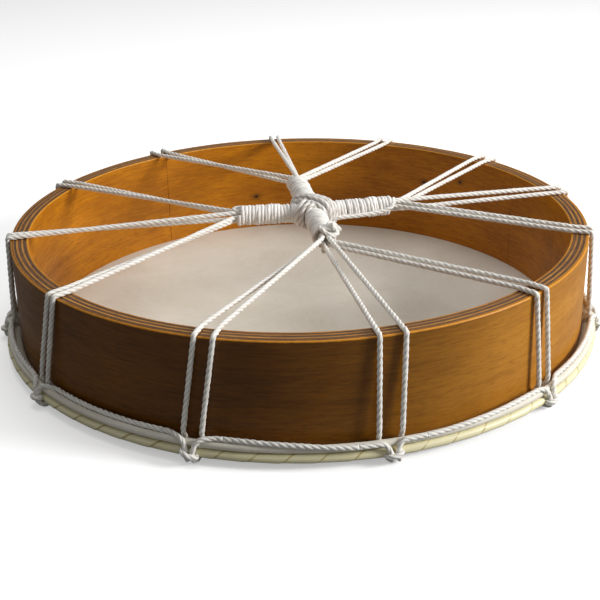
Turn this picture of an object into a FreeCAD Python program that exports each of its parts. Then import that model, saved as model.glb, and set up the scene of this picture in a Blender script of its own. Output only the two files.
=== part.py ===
"""Frame drum, lying on its head: plywood hoop, rawhide head, rope lacing and a bound cord handle.

Units are millimetres and +Z is up. The origin is the middle of the face that the drum rests on.
Each piece of the drum is written to its own file, parts/NAME.step.
"""
import FreeCAD
import Part

import math
import os
from dataclasses import dataclass

Vector = FreeCAD.Vector

# ---- driving dimensions ------------------------------------------------------------------------
HOOP_RADIUS = 200.0
HOOP_DEPTH = 76.0
PLY_THICKNESSES = (2.3, 1.3, 1.9, 1.5, 1.8, 1.7, 1.3)    # from the outside in
PLY_NAMES = ("hoop_outer_ply", "hoop_cross_ply_1", "hoop_core_ply_1", "hoop_cross_ply_2",
             "hoop_core_ply_2", "hoop_cross_ply_3", "hoop_inner_ply")
OUTER_PLY_SEAMS = (204.0,)                                 # butt joints, degrees
INNER_PLY_SEAMS = (6.0, 27.0, 126.0)
SEAM_GAP = 0.4
TOP_EDGE_BEVEL = 0.8
HEAD_EDGE_ROUND = 2.0                                      # where the skin bends up the hoop

SKIN = 0.8
SKIN_GAP = 0.05                                            # slack between skin and wood
COLLAR_TOP = 8.8
ROLL_RADIUS = 2.3
ROLL_RING = (207.0, 12.4)                                  # radius and height of the roll's centre
FLESH_RING_RADIUS = 1.4

TENSION_RING = (207.4, 6.8)
TENSION_RING_RADIUS = 3.0
WRAP_THICKNESS = 0.6

CORD_DIAMETER = 3.1
CORD_CLEARANCE = 0.25
RIM_BEND = 3.0                                             # bend of a cord over the hoop's edge
LEG_FOOT = (205.2, 18.5)
RING_CORD_GAP = 0.35                                       # slack between the ring cord and the roll
RING_CORD_POINTS = 7
HITCH_HOLE = 3.9                                           # hole in the skin for a strand
HITCH_TUCK_Z = (13.4, 7.6)                                 # where a strand goes in and out behind the roll
HITCH_GAP = {"under": 0.1, "front": 0.15, "behind": 0.22}  # slack between a strand and the rings
HITCH_FRONT_Z = 9.0
HITCH_LIE = (48.0, 80.0)                                   # furthest lie of the hitch's turn over the roll
HITCH_TO_RING_CORD = 12.0                                  # along the ring, from a leg to the ring cord
SHORT_RUN_SHARE = 0.45                                     # part of a run that one bend may use
VOLUME_TOLERANCE = 0.01

HANDLE_LIFT = 3.0                                          # handle axis above the hoop's top edge
HUB = (10.0, -1.0)
ARM_ENDS = {"left": (-43.0, -6.0), "front": (17.0, -56.0), "right": (67.0, 11.0), "back": (-2.0, 67.0)}
BINDING_THICKNESS = {"left": 1.9, "front": 2.5, "right": 1.9, "back": 2.6}
BINDING_PITCH = 2.8
BINDING_VALLEY = 0.7                                       # how deep the valley between turns is
BINDING_START = 13.3                                       # from the hub's middle
STRAND_CIRCLE = 3.5                                        # six strands lie on this circle in an arm
LASHING_RADIUS = 13.0
LASHING_HEIGHT = 18.8
LASHING_ROUND = 6.0
ARM_LEAD = 3.0                                             # straight start of a cord at an arm's end
END_LOOP = (2.5, 1.2)                                      # the loop's own radius and its cord's radius
KNOT_LOOP = 2.8
KNOT_TURN = (0.6, 0.8)                                     # sideways and upward parts of its direction


@dataclass(frozen=True)
class Station:
    """One place where a pair of cords crosses the hoop's edge, angles in degrees.

    lie holds where the ring cord lies on the roll before and after the station: 0 is in front of the
    roll, 90 on top of it and 150 behind it.
    """

    arm: str
    rim: float
    foot: float
    rim_spread: float
    foot_spread: float
    lie: tuple


STATIONS = (
    Station("left", 190.0, 188.0, 1.6, 2.4, (100.0, 100.0)),
    Station("left", 222.2, 218.0, 1.7, 2.3, (95.0, 145.0)),
    Station("front", 254.5, 252.0, 3.2, 3.2, (120.0, 105.0)),
    Station("front", 284.4, 284.0, 4.4, 3.9, (25.0, 40.0)),
    Station("front", 314.9, 316.2, 2.9, 2.9, (80.0, 115.0)),
    Station("right", 347.5, 349.0, 2.4, 2.8, (100.0, 110.0)),
    Station("right", 372.2, 373.0, 3.4, 3.0, (120.0, 110.0)),
    Station("right", 399.3, 400.0, 3.2, 3.0, (100.0, 130.0)),
    Station("back", 427.7, 428.0, 2.6, 2.6, (115.0, 95.0)),
    Station("back", 455.8, 456.0, 1.8, 2.2, (120.0, 125.0)),
    Station("back", 486.2, 485.5, 3.0, 2.8, (100.0, 120.0)),
    Station("left", 516.4, 514.5, 2.6, 2.6, (110.0, 105.0)),
)

# ---- worked-out dimensions ---------------------------------------------------------------------
RIM_Z = SKIN + HOOP_DEPTH
CORD_RADIUS = CORD_DIAMETER / 2
RIM_CORD_Z = RIM_Z + CORD_RADIUS + CORD_CLEARANCE
RIM_CORD_RADIUS = HOOP_RADIUS + CORD_RADIUS + CORD_CLEARANCE
HANDLE_Z = RIM_Z + HANDLE_LIFT
BUNDLE_RADIUS = STRAND_CIRCLE + CORD_RADIUS
UP = Vector(0, 0, 1)
ORIGIN = Vector(0, 0, 0)


# ---- geometry helpers --------------------------------------------------------------------------
def polar(radius, degrees, height):
    """Return the point at a radius, an angle from +X and a height."""
    angle = math.radians(degrees)
    return Vector(radius * math.cos(angle), radius * math.sin(angle), height)


def section_face(points):
    """Return the flat face with straight sides through points given as (radius, height)."""
    corners = [Vector(radius, 0, height) for radius, height in points]
    return Part.Face(Part.makePolygon(corners + corners[:1]))


def revolved(face):
    """Return the ring that a section makes round the drum's axis."""
    return face.revolve(ORIGIN, UP, 360)


def torus(ring, radius):
    """Return a round rod bent into a ring; ring is its centre line's radius and height."""
    return Part.makeTorus(ring[0], radius, Vector(0, 0, ring[1]))


def rounded_path(points, bends=None):
    """Return a wire of straight runs joined by tangent arcs, and the arcs' radii.

    bends holds a radius for a point's index; other points take as much of their runs as they can.
    """
    bends = bends or {}
    edges = []
    radii = []
    start = points[0]
    for index in range(1, len(points) - 1):
        before, corner, after = points[index - 1:index + 2]
        toward = (before - corner).normalize()
        away = (after - corner).normalize()
        half_turn = (math.pi - toward.getAngle(away)) / 2
        shorter = min((before - corner).Length, (after - corner).Length)
        radius = min(SHORT_RUN_SHARE * shorter / math.tan(half_turn), bends.get(index, math.inf))
        reach = radius * math.tan(half_turn)
        first = corner + toward * reach
        last = corner + away * reach
        inward = (toward + away).normalize()
        middle = corner + inward * (radius / math.cos(half_turn) - radius)
        edges.append(Part.LineSegment(start, first).toShape())
        edges.append(Part.Arc(first, middle, last).toShape())
        radii.append(radius)
        start = last
    edges.append(Part.LineSegment(start, points[-1]).toShape())
    return Part.Wire(edges), radii


def cord_along(path, radius=CORD_RADIUS):
    """Return a round cord swept along a wire, checked against its section times its length."""
    first = path.OrderedEdges[0]
    start = first.valueAt(first.FirstParameter)
    direction = first.tangentAt(first.FirstParameter)
    ring = Part.Wire(Part.makeCircle(radius, start, direction))
    cord = path.makePipeShell([ring], True, True)
    expected = math.pi * radius ** 2 * path.Length
    if abs(cord.Volume - expected) > VOLUME_TOLERANCE * expected:
        print("cord volume", round(cord.Volume, 1), "should be", round(expected, 1))
    return cord


# ---- hoop --------------------------------------------------------------------------------------
def hoop_section():
    """Return the whole wall's section, with its eased top edge and its rounded lower edge."""
    inner = HOOP_RADIUS - sum(PLY_THICKNESSES)
    bevel = HOOP_RADIUS - TOP_EDGE_BEVEL
    bend = HEAD_EDGE_ROUND * (1 - math.sqrt(0.5))
    corners = {
        "inner_low": Vector(inner, 0, SKIN),
        "round_start": Vector(HOOP_RADIUS - HEAD_EDGE_ROUND, 0, SKIN),
        "round_middle": Vector(HOOP_RADIUS - bend, 0, SKIN + bend),
        "round_end": Vector(HOOP_RADIUS, 0, SKIN + HEAD_EDGE_ROUND),
        "bevel_low": Vector(HOOP_RADIUS, 0, RIM_Z - TOP_EDGE_BEVEL),
        "bevel_high": Vector(bevel, 0, RIM_Z),
        "inner_high": Vector(inner, 0, RIM_Z),
    }
    names = ("round_end", "bevel_low", "bevel_high", "inner_high", "inner_low", "round_start")
    edges = [Part.LineSegment(corners[a], corners[b]).toShape() for a, b in zip(names, names[1:])]
    edges.append(Part.Arc(corners["round_start"], corners["round_middle"], corners["round_end"]).toShape())
    return Part.Face(Part.Wire(edges))


def seam_cut(degrees):
    """Return the thin block that opens a butt joint through a ply."""
    block = Part.makeBox(HOOP_RADIUS, SEAM_GAP, 2 * HOOP_DEPTH, Vector(HOOP_RADIUS / 2, -SEAM_GAP / 2, 0))
    block.rotate(ORIGIN, UP, degrees)
    return block


def in_turn(strips):
    """Return strips of a ring in the order of their middles' angles, starting at +X."""
    return sorted(strips, key=lambda strip: math.atan2(strip.CenterOfMass.y, strip.CenterOfMass.x) % math.tau)


def build_hoop():
    """Return the seven plies, with the butt joints of the face plies open and the inner one in its strips."""
    wall = hoop_section()
    seams = {"hoop_outer_ply": OUTER_PLY_SEAMS, "hoop_inner_ply": INNER_PLY_SEAMS}
    plies = {}
    outer = HOOP_RADIUS
    for name, thickness in zip(PLY_NAMES, PLY_THICKNESSES):
        inner = outer - thickness
        band = section_face([(inner, 0), (outer, 0), (outer, 2 * HOOP_DEPTH), (inner, 2 * HOOP_DEPTH)])
        ply = revolved(wall.common(band).Faces[0])
        for degrees in seams.get(name, ()):
            ply = ply.cut(seam_cut(degrees))
        if len(ply.Solids) > 1:
            plies.update((f"{name}_{number}", strip) for number, strip in enumerate(in_turn(ply.Solids), 1))
        else:
            plies[name] = ply
        outer = inner
    return plies


# ---- head and rings ----------------------------------------------------------------------------
def head_section():
    """Return the skin's section: flat head, bend, collar and the flare up to the rolled edge."""
    inside = HOOP_RADIUS + SKIN_GAP
    outside = inside + SKIN
    bend_centre = Vector(inside - HEAD_EDGE_ROUND, 0, SKIN + HEAD_EDGE_ROUND)
    diagonal = Vector(math.sqrt(0.5), 0, -math.sqrt(0.5))
    flare_end = ROLL_RING[0] - ROLL_RADIUS + SKIN / 2
    corners = {
        "centre_top": Vector(0, 0, SKIN),
        "inner_bend_low": Vector(bend_centre.x, 0, SKIN),
        "inner_bend_high": Vector(inside, 0, bend_centre.z),
        "collar_in": Vector(inside, 0, COLLAR_TOP),
        "flare_top": Vector(flare_end, 0, ROLL_RING[1]),
        "flare_low": Vector(flare_end, 0, ROLL_RING[1] - SKIN),
        "collar_out": Vector(outside, 0, COLLAR_TOP - SKIN),
        "outer_bend_high": Vector(outside, 0, bend_centre.z),
        "outer_bend_low": Vector(bend_centre.x, 0, 0),
        "centre_low": ORIGIN,
    }
    bends = {
        "inner_bend_low": bend_centre + diagonal * HEAD_EDGE_ROUND,
        "outer_bend_high": bend_centre + diagonal * (HEAD_EDGE_ROUND + SKIN),
    }
    names = list(corners)
    edges = []
    for name, following in zip(names, names[1:] + names[:1]):
        if name in bends:
            edges.append(Part.Arc(corners[name], bends[name], corners[following]).toShape())
        else:
            edges.append(Part.LineSegment(corners[name], corners[following]).toShape())
    return Part.Face(Part.Wire(edges))


def hitch_sides():
    """Yield every station with the side, -1 or +1, of each of its two strands."""
    for number, station in enumerate(STATIONS, 1):
        for side in (-1, 1):
            yield number, station, side


def half_foot(station):
    """Return half the distance between a station's two feet, along the ring."""
    return math.radians(station.foot_spread / 2) * LEG_FOOT[0]


def build_head():
    """Return the skin with a punched hole for each strand that passes behind the rings."""
    roll = torus(ROLL_RING, ROLL_RADIUS).cut(torus(ROLL_RING, ROLL_RADIUS - SKIN))
    skin = revolved(head_section()).fuse(roll).removeSplitter()
    holes = []
    for _, station, side in hitch_sides():
        route = hitch_route(station, side)
        direction = route[3] - route[2]
        start = route[2] - direction.normalize() * CORD_DIAMETER
        holes.append(Part.makeCylinder(HITCH_HOLE / 2, 4 * CORD_DIAMETER, start, direction))
    return skin.cut(Part.makeCompound(holes))


def build_rings():
    """Return the flesh ring and the tension ring's core and wrapping."""
    core = torus(TENSION_RING, TENSION_RING_RADIUS - WRAP_THICKNESS)
    return {
        "flesh_ring": torus(ROLL_RING, FLESH_RING_RADIUS),
        "tension_ring_core": core,
        "tension_ring_wrap": torus(TENSION_RING, TENSION_RING_RADIUS).cut(core),
    }


# ---- lacing ------------------------------------------------------------------------------------
def on_roll(lie):
    """Return the radius and height of a cord that lies on the roll at an angle from its front."""
    reach = ROLL_RADIUS + CORD_RADIUS + RING_CORD_GAP
    turn = math.radians(lie)
    return ROLL_RING[0] + reach * math.cos(turn), ROLL_RING[1] + reach * math.sin(turn)


def hitch_route(station, side):
    """Return the points of one strand: leg's foot, behind and under the rings, up and to the side."""
    half = half_foot(station)
    lie = station.lie[side > 0]
    under = TENSION_RING[1] - TENSION_RING_RADIUS - CORD_RADIUS - HITCH_GAP["under"]
    front = TENSION_RING[0] + TENSION_RING_RADIUS + CORD_RADIUS + HITCH_GAP["front"]
    behind = HOOP_RADIUS + SKIN_GAP + SKIN + CORD_RADIUS + HITCH_GAP["behind"]
    spots = (
        (half, LEG_FOOT[0], LEG_FOOT[1]),
        (half, LEG_FOOT[0] + 0.1, LEG_FOOT[1] - CORD_RADIUS),
        (half - 0.3, behind, HITCH_TUCK_Z[0]),
        (half - 0.6, behind, HITCH_TUCK_Z[1]),
        (half / 2 + 1.0, behind, under),
        (1.8, front, under),
        (2.2, front, HITCH_FRONT_Z),
        (half / 2 + 1.5, *on_roll(min(lie, HITCH_LIE[0]))),
        (half + 3.5, *on_roll(min(lie, HITCH_LIE[1]))),
        (half + 8.5, *on_roll(lie)),
        (half + HITCH_TO_RING_CORD, *on_roll(lie)),
    )
    return [polar(radius, station.foot + math.degrees(side * along / LEG_FOOT[0]), height)
            for along, radius, height in spots]


def arm_frame(name):
    """Return an arm's end point, its outward direction and the sideways direction."""
    end = Vector(*ARM_ENDS[name], HANDLE_Z)
    outward = (end - Vector(*HUB, HANDLE_Z)).normalize()
    return end, outward, UP.cross(outward)


def strand_spot(name, order):
    """Return where the strand of this order, 0 to 5 by rising angle, enters an arm's end."""
    end, _, sideways = arm_frame(name)
    rows = ((-1.0, 0.0), (-0.5, 1.0), (-0.5, -1.0), (0.5, 1.0), (0.5, -1.0), (1.0, 0.0))
    across, level = rows[order]
    return end + sideways * (across * STRAND_CIRCLE) + UP * (level * STRAND_CIRCLE * math.sqrt(0.75))


def tension_route(station, side, order):
    """Return the points of one cord from its arm, over the hoop's edge, to its foot."""
    _, outward, _ = arm_frame(station.arm)
    start = strand_spot(station.arm, order)
    return [
        start,
        start + outward * ARM_LEAD,
        polar(RIM_CORD_RADIUS, station.rim + side * station.rim_spread / 2, RIM_CORD_Z),
        polar(LEG_FOOT[0], station.foot + side * station.foot_spread / 2, LEG_FOOT[1]),
    ]


def build_lacing():
    """Return the tension cords, hitches and ring cord runs, and print the cords' length and bends."""
    pieces = {}
    orders = {name: 0 for name in ARM_ENDS}
    total = 0.0
    tightest = math.inf
    by_angle = sorted(hitch_sides(), key=lambda spot: (spot[1].arm, spot[1].rim, spot[2]))
    late_left = [spot for spot in by_angle if spot[1].arm == "left" and spot[1].rim > 360]
    by_angle = late_left + [spot for spot in by_angle if spot not in late_left]
    for number, station, side in by_angle:
        route = tension_route(station, side, orders[station.arm])
        orders[station.arm] += 1
        path, radii = rounded_path(route, {2: RIM_BEND})
        pieces.setdefault(f"tension_cord_{number:02d}", []).append(cord_along(path))
        hitch, hitch_radii = rounded_path(hitch_route(station, side))
        pieces.setdefault(f"hitch_{number:02d}", []).append(cord_along(hitch))
        total += path.Length + hitch.Length
        tightest = min([tightest] + radii + hitch_radii)
    for number, station in enumerate(STATIONS, 1):
        following = STATIONS[number % len(STATIONS)]
        start = station.foot + math.degrees((half_foot(station) + HITCH_TO_RING_CORD) / LEG_FOOT[0])
        end = following.foot - math.degrees((half_foot(following) + HITCH_TO_RING_CORD) / LEG_FOOT[0])
        end += 360 * (end < start)
        end -= 360 * (end - start > 180)
        spots = []
        for index in range(RING_CORD_POINTS):
            share = index / (RING_CORD_POINTS - 1)
            radius, height = on_roll(station.lie[1] + share * (following.lie[0] - station.lie[1]))
            spots.append(polar(radius, start + share * (end - start), height))
        run, _ = rounded_path(spots)
        pieces[f"ring_cord_{number:02d}"] = [cord_along(run)]
        total += run.Length
    print("lacing cord length", round(total), "mm, tightest bend", round(tightest, 1), "mm")
    return {name: Part.makeCompound(solids) for name, solids in pieces.items()}


# ---- handle ------------------------------------------------------------------------------------
def arm_length(name):
    """Return the distance from the hub's middle to an arm's end."""
    return math.dist(HUB, ARM_ENDS[name])


def on_arm(name, along, across, level):
    """Return a point given along an arm from the hub, across it and above its axis."""
    _, outward, sideways = arm_frame(name)
    return Vector(*HUB, HANDLE_Z) + outward * along + sideways * across + UP * level


def build_cross():
    """Return the four gathered bundles of strands, crossing at the hub."""
    arms = [Part.makeCylinder(BUNDLE_RADIUS, arm_length(name), Vector(*HUB, HANDLE_Z), arm_frame(name)[1])
            for name in ARM_ENDS]
    hub = Part.makeSphere(BUNDLE_RADIUS, Vector(*HUB, HANDLE_Z))
    return hub.multiFuse(arms).removeSplitter()


def build_binding(name):
    """Return the tight winding on one arm, as a sleeve with a ridge for each turn."""
    length = arm_length(name) - BINDING_START
    turns = round(length / BINDING_PITCH)
    pitch = length / turns
    crest = BUNDLE_RADIUS + BINDING_THICKNESS[name]
    valley = crest - BINDING_VALLEY
    near = BINDING_START
    edges = [Part.LineSegment(Vector(near, BUNDLE_RADIUS, 0), Vector(near, valley, 0)).toShape()]
    for turn in range(turns):
        left = near + turn * pitch
        edges.append(Part.Arc(Vector(left, valley, 0), Vector(left + pitch / 2, crest, 0),
                              Vector(left + pitch, valley, 0)).toShape())
    far = near + length
    edges.append(Part.LineSegment(Vector(far, valley, 0), Vector(far, BUNDLE_RADIUS, 0)).toShape())
    edges.append(Part.LineSegment(Vector(far, BUNDLE_RADIUS, 0), Vector(near, BUNDLE_RADIUS, 0)).toShape())
    sleeve = Part.Face(Part.Wire(edges)).revolve(ORIGIN, Vector(1, 0, 0), 360)
    turn_to_arm = FreeCAD.Rotation(Vector(1, 0, 0), arm_frame(name)[1])
    sleeve.Placement = FreeCAD.Placement(Vector(*HUB, HANDLE_Z), turn_to_arm)
    return sleeve


def build_lashing(cross):
    """Return the crossed turns over the hub, as one closed shell round the bundles."""
    base = Vector(*HUB, HANDLE_Z - LASHING_HEIGHT / 2)
    drum = Part.makeCylinder(LASHING_RADIUS, LASHING_HEIGHT, base)
    return drum.makeFillet(LASHING_ROUND, drum.Edges[:1] + drum.Edges[2:]).cut(cross)


def build_small_pieces():
    """Return the strand beside the right arm, the left arm's loop and the finishing knot."""
    right = BUNDLE_RADIUS + BINDING_THICKNESS["right"] + CORD_RADIUS + CORD_CLEARANCE
    front = BUNDLE_RADIUS + BINDING_THICKNESS["front"]
    left = BUNDLE_RADIUS + BINDING_THICKNESS["left"]
    beside = [on_arm("right", 15.0, -right + 0.2, -1.6),
              on_arm("right", 28.0, -right, -2.0),
              on_arm("right", 45.0, -right, -1.2),
              on_arm("right", 55.0, -right + 0.4, 2.2)]
    path, radii = rounded_path(beside)
    print("side strand bends", [round(radius, 1) for radius in radii])
    loop = Part.makeTorus(*END_LOOP, on_arm("left", 49.0, -1.5, left + END_LOOP[1] + 0.2), UP)
    away = front + CORD_RADIUS + 0.6
    _, _, sideways = arm_frame("front")
    knot_spot = on_arm("front", 50.0, away * KNOT_TURN[0], away * KNOT_TURN[1])
    knot = Part.makeTorus(KNOT_LOOP, CORD_RADIUS, knot_spot, sideways * KNOT_TURN[0] + UP * KNOT_TURN[1])
    below = front + CORD_RADIUS + 0.2
    tail = [on_arm("front", 49.0, 0.0, -below),
            on_arm("front", 54.0, -0.3, -below),
            on_arm("front", 59.0, -1.2, -below - 1.0)]
    tail_path, _ = rounded_path(tail)
    return {
        "handle_side_strand": cord_along(path),
        "binding_end_loop": loop,
        "finishing_knot": Part.makeCompound([knot, cord_along(tail_path)]),
    }


# ---- the whole drum ----------------------------------------------------------------------------
def build_drum():
    """Return every piece of the drum by its name."""
    cross = build_cross()
    pieces = build_hoop()
    pieces["drum_head"] = build_head()
    pieces.update(build_rings())
    pieces.update(build_lacing())
    pieces["handle_cord_bundles"] = cross
    pieces["centre_lashing"] = build_lashing(cross)
    for name in ARM_ENDS:
        pieces[f"{name}_arm_binding"] = build_binding(name)
    pieces.update(build_small_pieces())
    return pieces


os.makedirs("parts", exist_ok=True)
for piece_name, piece in build_drum().items():
    if not piece.isValid():
        print("not valid:", piece_name)
    piece.exportStep(f"parts/{piece_name}.step")
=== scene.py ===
"""Frame drum lying on its head: stained plywood hoop, rawhide head, twisted cord lacing, bound handle.

Sizes are in millimetres until a mesh is made; MM turns them into metres. The hoop's axis is Z.
"""
import logging
import math
from dataclasses import dataclass, field
from enum import Enum

import bpy
import numpy as np
from mathutils import Matrix, Vector, noise


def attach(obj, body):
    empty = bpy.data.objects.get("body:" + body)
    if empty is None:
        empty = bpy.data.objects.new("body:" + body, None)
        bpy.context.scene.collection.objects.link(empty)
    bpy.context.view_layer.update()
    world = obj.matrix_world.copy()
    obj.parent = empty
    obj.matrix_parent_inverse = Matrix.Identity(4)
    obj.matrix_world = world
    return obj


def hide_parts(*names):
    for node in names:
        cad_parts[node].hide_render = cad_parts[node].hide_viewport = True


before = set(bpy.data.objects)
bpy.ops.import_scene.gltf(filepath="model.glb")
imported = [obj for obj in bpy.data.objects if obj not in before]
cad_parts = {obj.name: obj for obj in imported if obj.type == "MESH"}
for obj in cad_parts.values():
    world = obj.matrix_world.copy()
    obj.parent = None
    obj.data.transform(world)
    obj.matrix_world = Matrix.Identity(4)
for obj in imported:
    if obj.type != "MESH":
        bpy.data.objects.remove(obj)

log = logging.getLogger("frame_drum")
MM = 0.001
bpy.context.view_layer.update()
UP = np.array((0.0, 0.0, 1.0))


# ---- sizes that the pieces share ---------------------------------------------------------------
class Arm(Enum):
    """The four arms of the handle, each with its end's place in plan, in millimetres."""

    LEFT = (-43.0, -6.0)
    FRONT = (17.0, -56.0)
    RIGHT = (67.0, 11.0)
    BACK = (-2.0, 67.0)


@dataclass(frozen=True)
class Station:
    """A place where two cords cross the hoop's edge; angles in degrees.

    lie holds where the ring cord lies on the roll before and after the station: 0 is in front of the
    roll, 90 on top of it and 150 behind it.
    """

    arm: Arm
    rim: float
    foot: float
    rim_spread: float
    foot_spread: float
    lie: tuple


@dataclass(frozen=True)
class Plan:
    """Driving sizes of the drum, the same as the design's, in millimetres."""

    hoop_radius: float = 200.0
    hoop_depth: float = 76.0
    skin: float = 0.8
    plies: tuple = (2.3, 1.3, 1.9, 1.5, 1.8, 1.7, 1.3)
    outer_seams: tuple = (204.0,)
    inner_seams: tuple = (6.0, 27.0, 126.0)
    roll_ring: tuple = (207.0, 12.4)
    roll_radius: float = 2.3
    tension_ring: tuple = (207.4, 6.8)
    tension_ring_radius: float = 3.0
    cord: float = 3.25
    foot: tuple = (205.2, 18.5)
    handle_lift: float = 3.0
    hub: tuple = (10.0, -1.0)
    strand_circle: float = 3.5
    binding_start: float = 13.3
    stations: tuple = (
        Station(Arm.LEFT, 190.0, 188.0, 1.6, 2.4, (100.0, 100.0)),
        Station(Arm.LEFT, 222.2, 218.0, 1.7, 2.3, (95.0, 145.0)),
        Station(Arm.FRONT, 254.5, 252.0, 3.2, 3.2, (120.0, 105.0)),
        Station(Arm.FRONT, 284.4, 284.0, 4.4, 3.9, (25.0, 40.0)),
        Station(Arm.FRONT, 314.9, 316.2, 2.9, 2.9, (80.0, 115.0)),
        Station(Arm.RIGHT, 347.5, 349.0, 2.4, 2.8, (100.0, 110.0)),
        Station(Arm.RIGHT, 372.2, 373.0, 3.4, 3.0, (120.0, 110.0)),
        Station(Arm.RIGHT, 399.3, 400.0, 3.2, 3.0, (100.0, 130.0)),
        Station(Arm.BACK, 427.7, 428.0, 2.6, 2.6, (115.0, 95.0)),
        Station(Arm.BACK, 455.8, 456.0, 1.8, 2.2, (120.0, 125.0)),
        Station(Arm.BACK, 486.2, 485.5, 3.0, 2.8, (100.0, 120.0)),
        Station(Arm.LEFT, 516.4, 514.5, 2.6, 2.6, (110.0, 105.0)),
    )

    @property
    def rim_z(self) -> float:
        """Height of the hoop's top edge."""
        return self.skin + self.hoop_depth

    @property
    def handle_z(self) -> float:
        """Height of the handle's axis."""
        return self.rim_z + self.handle_lift

    def on_roll(self, lie: float) -> tuple:
        """Return the radius and height of a cord that lies on the roll at an angle from its front."""
        reach = self.roll_radius + self.cord / 2 + 0.05
        turn = math.radians(lie)
        return self.roll_ring[0] + reach * math.cos(turn), self.roll_ring[1] + reach * math.sin(turn)

    @property
    def hub_point(self) -> np.ndarray:
        """The middle of the handle."""
        return np.array((*self.hub, self.handle_z))

    def arm_frame(self, arm: Arm) -> tuple:
        """Return an arm's end, its outward direction, its sideways direction and its length.

        Args:
            arm: which arm.

        Returns:
            End point, outward unit vector, sideways unit vector and length from the hub.
        """
        end = np.array((*arm.value, self.handle_z))
        reach = end - self.hub_point
        length = float(np.linalg.norm(reach))
        outward = reach / length
        return end, outward, np.cross(UP, outward), length

    def on_arm(self, arm: Arm, along: float, across: float, level: float) -> np.ndarray:
        """Return a point along an arm from the hub, across it and above its axis.

        Args:
            arm: which arm.
            along: distance from the hub's middle.
            across: distance sideways, positive to the left looking outward.
            level: height above the arm's axis.

        Returns:
            The point in millimetres.
        """
        _, outward, sideways, _ = self.arm_frame(arm)
        return self.hub_point + outward * along + sideways * across + UP * level


PLAN = Plan()


# ---- mesh helpers ------------------------------------------------------------------------------
def polar(radius: float, degrees: float, height: float) -> np.ndarray:
    """Return the point at a radius, an angle from +X and a height."""
    angle = math.radians(degrees)
    return np.array((radius * math.cos(angle), radius * math.sin(angle), height))


def wobble(points: np.ndarray, size: float, seed: float) -> np.ndarray:
    """Return smooth noise between -1 and 1 at each point.

    Args:
        points: places in millimetres, (n, 3).
        size: how large a bump is, in millimetres.
        seed: shifts the noise to another place.

    Returns:
        One number per point.
    """
    shift = Vector((seed * 7.13, seed * 3.7, seed * 1.9))
    return np.array([noise.noise(Vector(point) / size + shift) for point in points])


def walked(points: np.ndarray) -> np.ndarray:
    """Return the distance walked along a line at each of its points, from 0."""
    return np.concatenate([[0.0], np.cumsum(np.linalg.norm(np.diff(points, axis=0), axis=1))])


def ring_noise(angles: np.ndarray, radius: float, level: float, shift: float = 0.0) -> np.ndarray:
    """Return noise between -1 and 1 round a ring, with more waves on a larger radius.

    Args:
        angles: where on the ring, in radians.
        radius: the ring's radius in the noise.
        level: its height in the noise.
        shift: how far it is moved sideways in the noise.

    Returns:
        One number per angle.
    """
    return np.array([noise.noise(Vector((math.cos(angle) * radius + shift, math.sin(angle) * radius, level)))
                     for angle in angles])


def grid_mesh(name: str, points: np.ndarray, along: np.ndarray, around: np.ndarray,
              loop_along: bool = False, shift: int = 0) -> bpy.types.Object:
    """Make a closed mesh from a grid of points whose last column joins its first.

    The UV map holds real lengths. The first and last rows are joined or each closed with a face.

    Args:
        name: the object's name.
        points: grid of points in millimetres, (n, m, 3).
        along: U in millimetres for each row, n long, or n + 1 when looped along.
        around: V in millimetres for each column, m + 1 long.
        loop_along: whether the last row joins the first.
        shift: how many rows the last column is moved along where it joins the first.

    Returns:
        The new object, smooth shaded.
    """
    rows, columns = points.shape[:2]
    i, j = np.meshgrid(np.arange(rows - (not loop_along)), np.arange(columns), indexing="ij")
    corners = []
    for di, dj in ((0, 0), (1, 0), (1, 1), (0, 1)):
        over = (j + dj) // columns
        row = i + di + over * shift
        corners.append((row % rows * columns + (j + dj) % columns, i + di, j + dj))
    faces = np.stack([corner[0] for corner in corners], -1).reshape(-1, 4)
    u = np.stack([along[corner[1]] for corner in corners], -1).reshape(-1, 4)
    v = np.stack([around[corner[2]] for corner in corners], -1).reshape(-1, 4)
    flat = points.reshape(-1, 3)
    corner = [flat[faces[:, spot]] for spot in range(4)]
    volume = (np.einsum("ij,ij->i", corner[0], np.cross(corner[1], corner[2]))
              + np.einsum("ij,ij->i", corner[0], np.cross(corner[2], corner[3]))).sum()
    way = 1 if volume > 0 else -1
    polygons = faces[:, ::way].tolist()
    uvs = np.stack([u[:, ::way], v[:, ::way]], -1).reshape(-1, 2).tolist()
    if not loop_along:
        for row, order in ((0, way), (rows - 1, -way)):
            ring = [row * columns + column for column in range(columns)][::order]
            polygons.append(ring)
            uvs += [(along[row], around[index % columns]) for index in ring]
    mesh = bpy.data.meshes.new(name)
    mesh.from_pydata((flat * MM).tolist(), [], polygons)
    layer = mesh.uv_layers.new(name="UVMap")
    layer.data.foreach_set("uv", (np.array(uvs) * MM).ravel())
    mesh.polygons.foreach_set("use_smooth", [True] * len(mesh.polygons))
    mesh.update()
    thing = bpy.data.objects.new(name, mesh)
    bpy.context.scene.collection.objects.link(thing)
    return thing


def point_values(thing: bpy.types.Object, name: str, values: np.ndarray) -> None:
    """Store one number per vertex, for the materials to read.

    Args:
        thing: the object.
        name: the attribute's name.
        values: one number for each vertex.
    """
    layer = thing.data.attributes.new(name, "FLOAT", "POINT")
    layer.data.foreach_set("value", np.asarray(values, dtype=float).ravel())


def joined(name: str, things: list) -> bpy.types.Object:
    """Join objects into one under a new name.

    Args:
        name: the joined object's name.
        things: mesh objects with the same layers.

    Returns:
        The joined object.
    """
    bpy.ops.object.select_all(action="DESELECT")
    for thing in things:
        thing.select_set(True)
    bpy.context.view_layer.objects.active = things[0]
    if len(things) > 1:
        bpy.ops.object.join()
    things[0].name = name
    things[0].data.name = name
    return things[0]


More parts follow.
